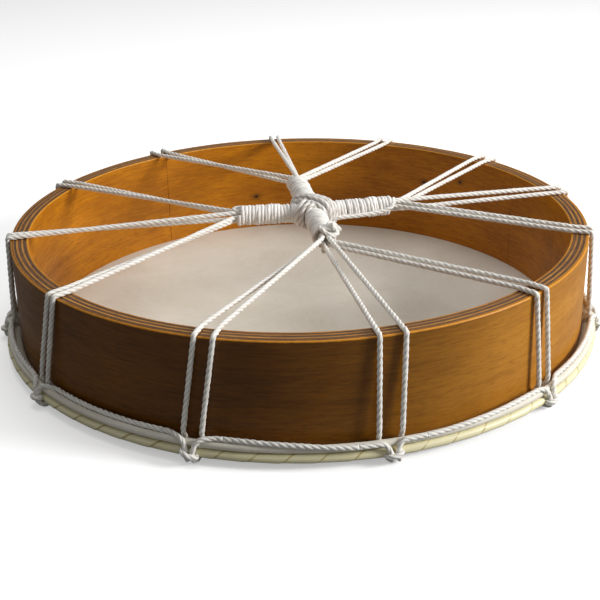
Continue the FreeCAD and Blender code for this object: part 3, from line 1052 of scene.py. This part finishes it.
@dataclass
class TensionRing:
    """The wrapped ring below the roll: a spirally wound strip with a small lip at each lap."""

    wraps: int = 66
    rows_per_wrap: int = 18
    columns: int = 24
    lip: float = 0.26
    rod_radius: float = 2.4
    flesh_radius: float = 1.4

    def build(self, strip: bpy.types.Material, rod: bpy.types.Material, steel: bpy.types.Material) -> None:
        """Make the wrapping, the rod inside it and the flesh ring.

        Args:
            strip: the wrapping's finish.
            rod: the core's finish.
            steel: the flesh ring's finish.
        """
        ring_radius, ring_height = PLAN.tension_ring
        rows = self.wraps * self.rows_per_wrap
        row = np.arange(rows)[:, None]
        column = np.arange(self.columns)[None, :]
        roll = 2 * math.pi * column / self.columns
        lead = 2 * math.pi * (row / rows + column / self.columns / self.wraps)
        phase = (row % self.rows_per_wrap) / (self.rows_per_wrap - 1)
        own = np.array([noise.noise(Vector((index * 1.7, 4.0, 1.0)))
                        for index in range(rows // self.rows_per_wrap)])
        own = np.repeat(own, self.rows_per_wrap)[:, None]
        size = PLAN.tension_ring_radius - self.lip + self.lip * phase ** 1.5 + 0.10 * own
        lead = lead + 0.004 * own * np.sin(math.pi * phase)
        radial = ring_radius + size * np.cos(roll)
        grid = np.stack([radial * np.cos(lead), radial * np.sin(lead), ring_height + size * np.sin(roll)], -1)
        along = np.linspace(0, 2 * math.pi * ring_radius, rows + 1)
        around = np.linspace(0, 2 * math.pi * PLAN.tension_ring_radius, self.columns + 1)
        wrap = grid_mesh("tension_ring_strip", grid, along, around, loop_along=True, shift=self.rows_per_wrap)
        place = np.arange(rows) % self.rows_per_wrap
        seam = np.where(place == 0, 1.0, np.where(place == self.rows_per_wrap - 1, 0.9, 0.0))
        point_values(wrap, "edge", np.repeat(seam, self.columns))
        wrap.data.set_sharp_from_angle(angle=math.radians(40))
        settle(wrap, strip, "yellow_wrap", "tension_ring_wrap")
        self.hidden_ring("tension_ring_rod", PLAN.tension_ring, self.rod_radius, rod,
                         "rattan", "tension_ring_core")
        self.hidden_ring("flesh_ring_rod", PLAN.roll_ring, self.flesh_radius, steel,
                         "ring_steel", "flesh_ring")

    @staticmethod
    def hidden_ring(name: str, ring: tuple, radius: float, material: bpy.types.Material, slot: str,
                    node: str) -> None:
        """Make a plain bent rod with a lapped joint swell.

        Args:
            name: the object's name.
            ring: radius and height of its centre line.
            radius: the rod's radius.
            material: its finish.
            slot: a material slot name, handed on to settle.
            node: the design's node that it replaces.
        """
        angles = np.linspace(0, 2 * math.pi, 240, endpoint=False)
        turns = np.linspace(0, 2 * math.pi, 12, endpoint=False)
        size = radius * (0.97 + 0.03 * np.exp(-((angles - 2.0) / 0.05) ** 2))[:, None]
        radial = ring[0] + size * np.cos(turns)
        grid = np.stack([radial * np.cos(angles)[:, None], radial * np.sin(angles)[:, None],
                         ring[1] + size * np.sin(turns)], -1)
        rod = grid_mesh(name, grid, np.linspace(0, 2 * math.pi * ring[0], len(angles) + 1),
                        np.linspace(0, 2 * math.pi * radius, len(turns) + 1), loop_along=True)
        point_values(rod, "edge", np.zeros(len(angles) * len(turns)))
        settle(rod, material, slot, node)


# ---- lacing ------------------------------------------------------------------------------------
class Piece(Enum):
    """The kinds of piece that a lacing strand is divided into."""

    TENSION = "tension_cord"
    HITCH = "hitch"
    RING = "ring_cord"


@dataclass
class Lacing:
    """The cord that pulls the head tight: twelve lengths, each from arm to arm by way of two hitches."""

    step: float = 0.9
    lead: float = 2.5
    inside: float = 4.0
    parts: dict = field(default_factory=dict)

    @staticmethod
    def strand_spot(arm: Arm, order: int) -> np.ndarray:
        """Return where the strand of this order, by rising angle, lies in an arm's section."""
        end, _, sideways, _ = PLAN.arm_frame(arm)
        rows = ((-1.0, 0.0), (-0.5, 1.0), (-0.5, -1.0), (0.5, 1.0), (0.5, -1.0), (1.0, 0.0))
        across, level = rows[order]
        circle = PLAN.strand_circle * 0.9
        return end + sideways * across * circle + UP * level * circle * math.sqrt(0.75)

    def order_in_arm(self, number: int, side: int) -> int:
        """Return a strand's order in its arm, from its station's number and its side."""
        arm = PLAN.stations[number].arm
        mates = [index for index, station in enumerate(PLAN.stations) if station.arm == arm]
        mates.sort(key=lambda index: (PLAN.stations[index].rim - 90.0) % 360.0)
        return 2 * mates.index(number) + (side > 0)

    def tension_points(self, number: int, side: int) -> list:
        """Return a tension cord's points from inside its arm to its foot.

        Args:
            number: the station's index.
            side: -1 or +1.

        Returns:
            Points in millimetres.
        """
        station = PLAN.stations[number]
        _, outward, _, _ = PLAN.arm_frame(station.arm)
        spot = self.strand_spot(station.arm, self.order_in_arm(number, side))
        over = PLAN.rim_z + PLAN.cord / 2 - 0.05
        rim = station.rim + side * station.rim_spread / 2
        foot = station.foot + side * station.foot_spread / 2
        down = polar(PLAN.foot[0], foot, PLAN.foot[1])
        corner = polar(PLAN.hoop_radius + PLAN.cord / 2 + 0.15, rim, over + 0.1)
        fall = (down - corner) / np.linalg.norm(down - corner)
        inner = polar(189.5, rim, over)
        inner[2] = max(over, float(np.interp(189.5, (55.0, 199.0), (spot[2], over))))
        run = (inner - spot) / np.linalg.norm(inner - spot)
        lead_end = spot + outward * self.lead
        return [spot - outward * self.inside, lead_end, lead_end + run * 8.0, inner - run * 10.0,
                inner, polar(197.6, rim, over), corner, corner + fall * 3.2,
                corner + fall * 9.0, down]

    @staticmethod
    def hitch_points(number: int, side: int) -> list:
        """Return a hitch's points: behind and under the rings, up their front and off to the side.

        Args:
            number: the station's index.
            side: -1 or +1.

        Returns:
            Points in millimetres.
        """
        station = PLAN.stations[number]
        half = math.radians(station.foot_spread / 2) * PLAN.foot[0]
        lie = station.lie[side > 0]
        thick = PLAN.cord / 2
        under = PLAN.tension_ring[1] - PLAN.tension_ring_radius - thick + 0.05
        front = PLAN.tension_ring[0] + PLAN.tension_ring_radius + thick - 0.1
        behind = PLAN.hoop_radius + PLAN.skin + thick + 0.25
        lean = side * (1.3 + 0.9 * math.sin(number * 2.1))
        spots = (
            (half, PLAN.foot[0] - 0.6, 15.8),
            (half - 0.3, behind, 12.6),
            (half - 0.6, behind, 7.6),
            (half / 2 + 1.0 + lean, behind, under),
            (1.8 + lean, front, under),
            (1.65, front, 8.6),
            (half / 2 + 1.3, *PLAN.on_roll(min(lie, 44.0))),
            (half + 3.2, *PLAN.on_roll(min(lie, 78.0))),
            (half + 8.5, *PLAN.on_roll(lie)),
            (half + 13.0, *PLAN.on_roll(lie)),
        )
        return [polar(radius, station.foot + math.degrees(side * along / PLAN.foot[0]), height)
                for along, radius, height in spots]

    @staticmethod
    def collar_line(number: int) -> np.ndarray:
        """Return the short turn that holds a station's two strands together over the tension ring."""
        station = PLAN.stations[number]
        front = PLAN.tension_ring[0] + PLAN.tension_ring_radius + PLAN.cord / 2
        lean = 1.5 * math.sin(number * 2.1 + 0.6)
        spins = np.linspace(-2.3, 2.3, 30)
        return np.array([polar(front - 0.5 + 2.6 * math.cos(spin),
                               station.foot + math.degrees(4.3 * math.sin(spin) / PLAN.foot[0]),
                               7.2 + lean * math.sin(spin)) for spin in spins])

    def ring_points(self, number: int) -> list:
        """Return the ring cord's points between a station and the next."""
        here = PLAN.stations[number]
        there = PLAN.stations[(number + 1) % len(PLAN.stations)]
        start = here.foot + here.foot_spread / 2 + math.degrees(17.0 / PLAN.foot[0])
        end = there.foot - there.foot_spread / 2 - math.degrees(17.0 / PLAN.foot[0])
        end += 360.0 * (end < start)
        end -= 360.0 * (end - start > 180.0)
        points = []
        for share in np.linspace(0, 1, 7):
            lift = 0.25 * noise.noise(Vector((number * 2.3, share * 3.1, 0.5)))
            radius, height = PLAN.on_roll(here.lie[1] + share * (there.lie[0] - here.lie[1]))
            points.append(polar(radius + lift, start + share * (end - start), height + lift))
        return points

    def build(self, material: bpy.types.Material) -> None:
        """Make every strand and divide it into its pieces.

        Args:
            material: the cord's finish.
        """
        count = len(PLAN.stations)
        for number in range(count):
            following = (number + 1) % count
            going = self.tension_points(number, 1)
            hitch = self.hitch_points(number, 1)
            ring = self.ring_points(number)
            far_hitch = self.hitch_points(following, -1)[::-1]
            coming = self.tension_points(following, -1)[::-1]
            line = smooth_line(going + hitch + ring + far_hitch + coming, self.step)
            rope = Rope(line, PLAN.cord, phase=number * 1.3)
            cuts = [self.nearest(line, point) for point in (going[-1], hitch[-1], far_hitch[0], coming[0])]
            cuts = [0] + cuts + [len(line) - 1]
            labels = ((Piece.TENSION, number), (Piece.HITCH, number), (Piece.RING, number),
                      (Piece.HITCH, following), (Piece.TENSION, following))
            for (kind, station), first, last in zip(labels, cuts, cuts[1:]):
                stretch = rope.mesh("stretch", first, last)
                self.parts.setdefault((kind, station + 1), []).append(stretch)
        for number in range(count):
            collar = Rope(self.collar_line(number), PLAN.cord, phase=number * 0.9)
            self.parts[(Piece.HITCH, number + 1)].append(collar.mesh("collar"))
        for (kind, station), stretches in self.parts.items():
            node = f"{kind.value}_{station:02d}"
            settle(joined(f"{node}_rope", stretches), material, "lacing_cord", node)

    @staticmethod
    def nearest(line: np.ndarray, point: np.ndarray) -> int:
        """Return the index of the line's point that lies nearest to a place."""
        return int(np.argmin(np.linalg.norm(line - point, axis=1)))


# ---- handle ------------------------------------------------------------------------------------
@dataclass
class Handle:
    """The cross: gathered strands, a winding on each arm, the crossed lashing and its small pieces."""

    bundle: float = 4.4
    step: float = 0.8
    valley: float = 0.34

    @staticmethod
    def turn_of(arm: Arm) -> tuple:
        """Return the winding cord's diameter, its turns' pitch and its coil's inner radius on an arm."""
        return {Arm.LEFT: (2.9, 2.35, 4.1), Arm.RIGHT: (2.9, 2.45, 4.1),
                Arm.FRONT: (3.6, 3.6, 4.0), Arm.BACK: (5.2, 5.8, 2.8)}[arm]

    def bundles(self, material: bpy.types.Material) -> None:
        """Make the strands gathered inside the windings."""
        parts = []
        for arm in Arm:
            _, outward, _, length = PLAN.arm_frame(arm)
            far = PLAN.hub_point + outward * (length - 2.0)
            line = np.linspace(PLAN.hub_point, far, int(length / 1.5))
            bundle = Rope(line, self.bundle * 2, pitch=90.0, lobes=6, fullness=0.36, per_lobe=6)
            parts.append(bundle.mesh("bundle"))
        settle(joined("gathered_strands", parts), material, "lacing_cord", "handle_cord_bundles")

    def winding(self, arm: Arm, material: bpy.types.Material) -> None:
        """Make the tight winding on one arm.

        Args:
            arm: which arm.
            material: the cord's finish.
        """
        _, outward, sideways, length = PLAN.arm_frame(arm)
        size, pitch, inner = self.turn_of(arm)
        turns = int((length - PLAN.binding_start + 3.0) / pitch)
        per_turn = 44
        spins = np.arange(turns * per_turn + 1) * 2 * math.pi / per_turn
        share = spins / spins[-1]
        own = np.array([noise.noise(Vector((spin / 6.283, length, 0.3))) for spin in spins])
        slow = np.array([noise.noise(Vector((spin / 19.0, length, 9.0))) for spin in spins])
        along = PLAN.binding_start - 2.5 + share * (length - PLAN.binding_start + 2.5 - size / 2)
        along = along + 1.0 * own
        radius = inner + size / 2 + 0.7 * slow + 0.55 * own
        start = {Arm.LEFT: 0.4, Arm.FRONT: 2.1, Arm.RIGHT: 3.0, Arm.BACK: 1.2}[arm]
        turned = spins + start
        circle = sideways[None, :] * np.cos(turned)[:, None] + UP[None, :] * np.sin(turned)[:, None]
        tilt = (0.8 + 1.2 * slow) * np.cos(turned + 0.6)
        line = (PLAN.hub_point + outward[None, :] * (along + tilt)[:, None] + circle * radius[:, None])
        rope = Rope(line, size, pitch=15.0, fullness=0.84, per_lobe=6, unevenness=0.16)
        node = f"{arm.name.lower()}_arm_binding"
        thing = rope.mesh(f"{node}_rope")
        self.shade_valleys(thing, arm)
        settle(thing, material, "binding_cord", node)

    def shade_valleys(self, thing: bpy.types.Object, arm: Arm) -> None:
        """Paint shade on a winding's cord where it dips between two turns.

        Args:
            thing: the winding.
            arm: its arm.
        """
        _, outward, _, _ = PLAN.arm_frame(arm)
        size, _, inner = self.turn_of(arm)
        points = np.empty(len(thing.data.vertices) * 3)
        thing.data.vertices.foreach_get("co", points)
        reach = points.reshape(-1, 3) / MM - PLAN.hub_point
        away = np.linalg.norm(reach - np.outer(reach @ outward, outward), axis=1)
        # painted shade between turns, stronger on the front and back arms
        share = 0.9 if arm in (Arm.FRONT, Arm.BACK) else 0.4
        creases = thing.data.attributes["crease"]
        depth = np.clip((inner + size + 0.1 - away) / (self.valley * size), 0.0, 1.0)
        creases.data.foreach_set("value", depth * share)

    def lashing(self, material: bpy.types.Material) -> None:
        """Make the crossed turns over the hub."""
        parts = []
        _, right, _, _ = PLAN.arm_frame(Arm.RIGHT)
        for layer, (degrees, turns, wide, tall) in enumerate(((45.0, 5, 13.6, 9.6), (135.0, 5, 15.2, 11.4))):
            heading = math.degrees(math.atan2(right[1], right[0])) + degrees
            ahead = polar(1.0, heading, 0.0)
            beside = polar(1.0, heading + 90.0, 0.0)
            spins = np.linspace(0, 2 * math.pi * turns, turns * 56 + 1)
            share = spins / spins[-1] - 0.5
            offset = share * turns * 3.3 + 0.8 * np.sin(spins * 0.41 + layer)
            curve_x = np.sign(np.cos(spins)) * np.abs(np.cos(spins)) ** 0.8
            curve_z = np.sign(np.sin(spins)) * np.abs(np.sin(spins)) ** 0.7
            reach = wide * (1.0 + 0.10 * np.cos(share * math.pi * 2))
            high = tall * (1.0 - 0.34 * (2 * share) ** 2) + 0.5 * np.sin(spins * 0.37 + layer)
            line = (PLAN.hub_point[None, :] + ahead[None, :] * (curve_x * reach)[:, None]
                    + beside[None, :] * offset[:, None] + UP[None, :] * (curve_z * high)[:, None])
            rope = Rope(line, 3.6, pitch=15.0, fullness=0.84, per_lobe=6, phase=layer * 1.1)
            parts.append(rope.mesh("lashing"))
        settle(joined("centre_lashing_rope", parts), material, "binding_cord", "centre_lashing")

    def small_pieces(self, material: bpy.types.Material, cord: bpy.types.Material) -> None:
        """Make the strand beside the right arm, the left arm's loop and the finishing knot.

        Args:
            material: the binding cord's finish.
            cord: the lacing cord's finish.
        """
        beside = [PLAN.on_arm(Arm.RIGHT, 10.0, -6.0, -4.0), PLAN.on_arm(Arm.RIGHT, 13.0, -8.0, -3.2),
                  PLAN.on_arm(Arm.RIGHT, 18.0, -8.5, -2.8), PLAN.on_arm(Arm.RIGHT, 32.0, -8.6, -2.6),
                  PLAN.on_arm(Arm.RIGHT, 46.0, -8.4, -1.6), PLAN.on_arm(Arm.RIGHT, 54.0, -8.2, 0.4),
                  PLAN.on_arm(Arm.RIGHT, 57.5, -6.4, 3.0), PLAN.on_arm(Arm.RIGHT, 57.8, -2.0, 5.6)]
        strand = Rope(smooth_line(beside, self.step), PLAN.cord)
        settle(strand.mesh("handle_side_strand_rope"), cord, "binding_cord", "handle_side_strand")
        loop = [PLAN.on_arm(Arm.LEFT, 45.0, -3.6, 2.0), PLAN.on_arm(Arm.LEFT, 48.0, -4.2, 3.8),
                PLAN.on_arm(Arm.LEFT, 53.0, -4.6, 4.6), PLAN.on_arm(Arm.LEFT, 56.5, -2.4, 4.2),
                PLAN.on_arm(Arm.LEFT, 56.0, 0.8, 3.8), PLAN.on_arm(Arm.LEFT, 52.0, 1.6, 4.3),
                PLAN.on_arm(Arm.LEFT, 48.0, 1.2, 4.0), PLAN.on_arm(Arm.LEFT, 45.5, 0.4, 2.0)]
        eye = Rope(smooth_line(loop, self.step), 2.9)
        settle(eye.mesh("binding_end_loop_rope"), material, "binding_cord", "binding_end_loop")
        settle(joined("finishing_knot_rope", self.knot_parts()), cord, "binding_cord", "finishing_knot")

    def knot_parts(self) -> list:
        """Return the finishing knot, a small overhand knot, and the cut tail below the arm."""
        centre = PLAN.on_arm(Arm.FRONT, 51.0, 6.4, 6.6)
        _, outward, sideways, _ = PLAN.arm_frame(Arm.FRONT)
        lean = sideways * 0.6 + UP * 0.8
        flat = np.cross(outward, lean)
        spins = np.linspace(0, 2 * math.pi, 90)
        swing = 2.0 + 1.25 * np.cos(3 * spins)
        line = (centre[None, :] + outward[None, :] * (swing * 1.15 * np.cos(2 * spins))[:, None]
                + flat[None, :] * (swing * 1.35 * np.sin(2 * spins))[:, None]
                + lean[None, :] * (1.5 * np.sin(3 * spins))[:, None])
        knot = Rope(line, 3.2, pitch=11.0)
        tail = [PLAN.on_arm(Arm.FRONT, 47.0, 0.0, -5.0), PLAN.on_arm(Arm.FRONT, 51.0, -0.4, -5.6),
                PLAN.on_arm(Arm.FRONT, 55.0, -0.8, -5.8), PLAN.on_arm(Arm.FRONT, 59.5, -1.2, -6.4)]
        feed = [PLAN.on_arm(Arm.FRONT, 49.0, 8.2, 5.0), PLAN.on_arm(Arm.FRONT, 54.0, 9.0, 4.2),
                PLAN.on_arm(Arm.FRONT, 57.5, 6.0, 3.6), PLAN.on_arm(Arm.FRONT, 57.8, 1.5, 4.4),
                PLAN.on_arm(Arm.FRONT, 54.5, -2.0, 6.6), PLAN.on_arm(Arm.FRONT, 50.0, -3.0, 7.0)]
        return [knot.mesh("knot"), Rope(smooth_line(tail, self.step), 4.2, pitch=16.0).mesh("tail"),
                Rope(smooth_line(feed, self.step), 3.1).mesh("feed")]

    def build(self, binding: bpy.types.Material, cord: bpy.types.Material) -> None:
        """Make the whole handle.

        Args:
            binding: the winding cord's finish.
            cord: the lacing cord's finish.
        """
        self.bundles(cord)
        for arm in Arm:
            self.winding(arm, binding)
        self.lashing(binding)
        self.small_pieces(binding, cord)


# ---- studio ------------------------------------------------------------------------------------
@dataclass
class Studio:
    """The floor, the light and the camera; none of them belongs to the drum.

    key and top each hold a light's place, what it points at and its side in metres, and its watts.
    """

    lens: float = 65.64
    eye: tuple = (-0.6, -732.7, 342.0)
    aim: tuple = (-0.6, -145.4, 76.8)
    roll: float = -1.078
    floor_bounce: float = 0.25
    floor_glow: float = 0.4
    sky: float = 0.25
    floor_side: float = 8.0
    key: tuple = ((1.6, -0.42, 0.72), (0.0, 0.0, 0.04), 0.55, 33.0)
    top: tuple = ((0.1, 0.35, 1.7), (0.0, 0.0, 0.0), 1.3, 12.0)

    def camera(self) -> None:
        """Place the camera and make it the scene's own."""
        data = bpy.data.cameras.new("camera")
        data.lens = self.lens
        data.sensor_width = 36.0
        camera = bpy.data.objects.new("camera", data)
        bpy.context.scene.collection.objects.link(camera)
        eye = Vector(self.eye) * MM
        aim = Vector(self.aim) * MM
        look = (aim - eye).to_track_quat("-Z", "Y").to_matrix().to_4x4()
        turn = Matrix.Rotation(math.radians(self.roll), 4, "Z")
        camera.matrix_world = Matrix.Translation(eye) @ look @ turn
        bpy.context.scene.camera = camera

    def floor(self) -> None:
        """Lay a pale floor under the drum."""
        mesh = bpy.data.meshes.new("floor")
        half = self.floor_side / 2
        corners = [(-half, -half, 0), (half, -half, 0), (half, half, 0), (-half, half, 0)]
        mesh.from_pydata(corners, [], [(0, 1, 2, 3)])
        floor = bpy.data.objects.new("floor", mesh)
        bpy.context.scene.collection.objects.link(floor)
        material = bpy.data.materials.new("pale_floor")
        material.use_nodes = True
        graph = Graph(material.node_tree)
        shader = material.node_tree.nodes["Principled BSDF"]
        shader.inputs["Roughness"].default_value = 0.95
        shader.inputs["Specular IOR Level"].default_value = 0.0
        seen = graph.add("ShaderNodeLightPath").outputs["Is Camera Ray"]
        tone = graph.mix(seen, (self.floor_bounce,) * 3 + (1.0,), (0.9, 0.9, 0.9, 1.0))
        graph.send(shader, **{"Base Color": tone})
        shader.inputs["Emission Color"].default_value = (1.0, 1.0, 1.0, 1.0)
        graph.send(shader, **{"Emission Strength": graph.math("MULTIPLY", seen, self.floor_glow)})
        mesh.materials.append(material)

    @staticmethod
    def lamp(name: str, place: tuple, aim: tuple, size: float, power: float) -> None:
        """Hang a square soft light.

        Args:
            name: the light's name.
            place: where it hangs, in metres.
            aim: what it points at, in metres.
            size: its side, in metres.
            power: its power in watts.
        """
        data = bpy.data.lights.new(name, "AREA")
        data.size = size
        data.energy = power
        lamp = bpy.data.objects.new(name, data)
        lamp.location = place
        lamp.rotation_euler = (Vector(aim) - Vector(place)).to_track_quat("-Z", "Y").to_euler()
        bpy.context.scene.collection.objects.link(lamp)

    def build(self) -> None:
        """Set up the floor, the lights, the sky and the camera."""
        self.camera()
        self.floor()
        world = bpy.data.worlds.new("studio")
        world.use_nodes = True
        graph = Graph(world.node_tree)
        backdrop = world.node_tree.nodes["Background"]
        seen = graph.add("ShaderNodeLightPath").outputs["Is Camera Ray"]
        graph.send(backdrop, Strength=graph.scaled_sum(seen, 1.0 - self.sky, self.sky))
        backdrop.inputs[0].default_value = (1.0, 1.0, 1.0, 1.0)
        bpy.context.scene.world = world
        self.lamp("key", *self.key)
        self.lamp("top", *self.top)
        bpy.context.scene.view_settings.view_transform = "Standard"


# ---- the drum ----------------------------------------------------------------------------------
def make_finishes() -> dict:
    """Make every material, by piece or kind of piece."""
    library = Library()
    amber = rgb(198, 126, 10)
    umber = rgb(138, 78, 2)
    inner_knots = (Knot(55.5, 106.0, 2.2), Knot(44.7, 99.0, 2.2), Knot(101.5, 126.0, 2.6),
                   Knot(93.4, 109.0, 1.3))
    inner = StainedVeneer("amber_stained_inner_veneer", amber, umber, rgb(206, 140, 40), inner_knots)
    # outer veneer: its dark stain, plus a pale pair that paints the key light's side
    outer = StainedVeneer("amber_stained_outer_veneer", rgb(118, 70, 8), rgb(74, 42, 2), rgb(206, 136, 34),
                          lit_side_light=rgb(198, 136, 46), lit_side_dark=rgb(154, 98, 26))
    long_grain = CutPly("sanded_long_grain_edge", rgb(200, 138, 44), rgb(136, 84, 22), False)
    cross_grain = CutPly("sanded_end_grain_edge", rgb(126, 80, 32), rgb(64, 37, 12), True)
    core = long_grain.build(library)
    cross = cross_grain.build(library)
    hide = Hide("cream_rawhide", rgb(226, 221, 208), rgb(212, 204, 186), rgb(190, 172, 144))
    strip = WrappedStrip("pale_yellow_strip", rgb(236, 228, 188), rgb(224, 214, 166), rgb(176, 156, 96))
    cord = TwistedCord("lacing_cotton", rgb(240, 238, 232), rgb(198, 190, 176))
    # binding cord: the darker shade colour is painted shade in its creases and between its turns
    binding = TwistedCord("binding_cotton", rgb(238, 235, 230), rgb(158, 146, 130), 1.3)
    rod = CutPly("peeled_rattan", rgb(206, 170, 110), rgb(150, 112, 60), False)
    steel = Finish("ring_steel", 0.35)
    steel.shader.inputs["Metallic"].default_value = 1.0
    brushed = steel.group(library.mottle, {"Vector": steel.uv, "Base": (0.45, 0.45, 0.46, 1.0),
                                           "Blotch": (0.3, 0.3, 0.31, 1.0), "Speck": (0.2, 0.18, 0.16, 1.0),
                                           "Size": 200.0, "Amount": 0.6})
    steel.feed("Base Color", brushed.outputs["Color"])
    finishes = {name: core if index % 2 == 0 else cross for index, name in enumerate(Hoop().names)}
    finishes.update(hoop_outer_ply=outer.build(library), hoop_inner_ply=inner.build(library),
                    hide=hide.build(library), strip=strip.build(library), cord=cord.build(library),
                    binding=binding.build(library), rod=rod.build(library), steel=steel.material)
    return finishes


def main() -> None:
    """Build the drum piece by piece, then the studio round it."""
    logging.basicConfig(level=logging.INFO, format="%(name)s: %(message)s")
    finishes = make_finishes()
    Studio().build()
    Hoop().build(finishes)
    Head().build(finishes["hide"])
    TensionRing().build(finishes["strip"], finishes["rod"], finishes["steel"])
    Lacing().build(finishes["cord"])
    Handle().build(finishes["binding"], finishes["cord"])


if __name__ == "__main__":
    main()
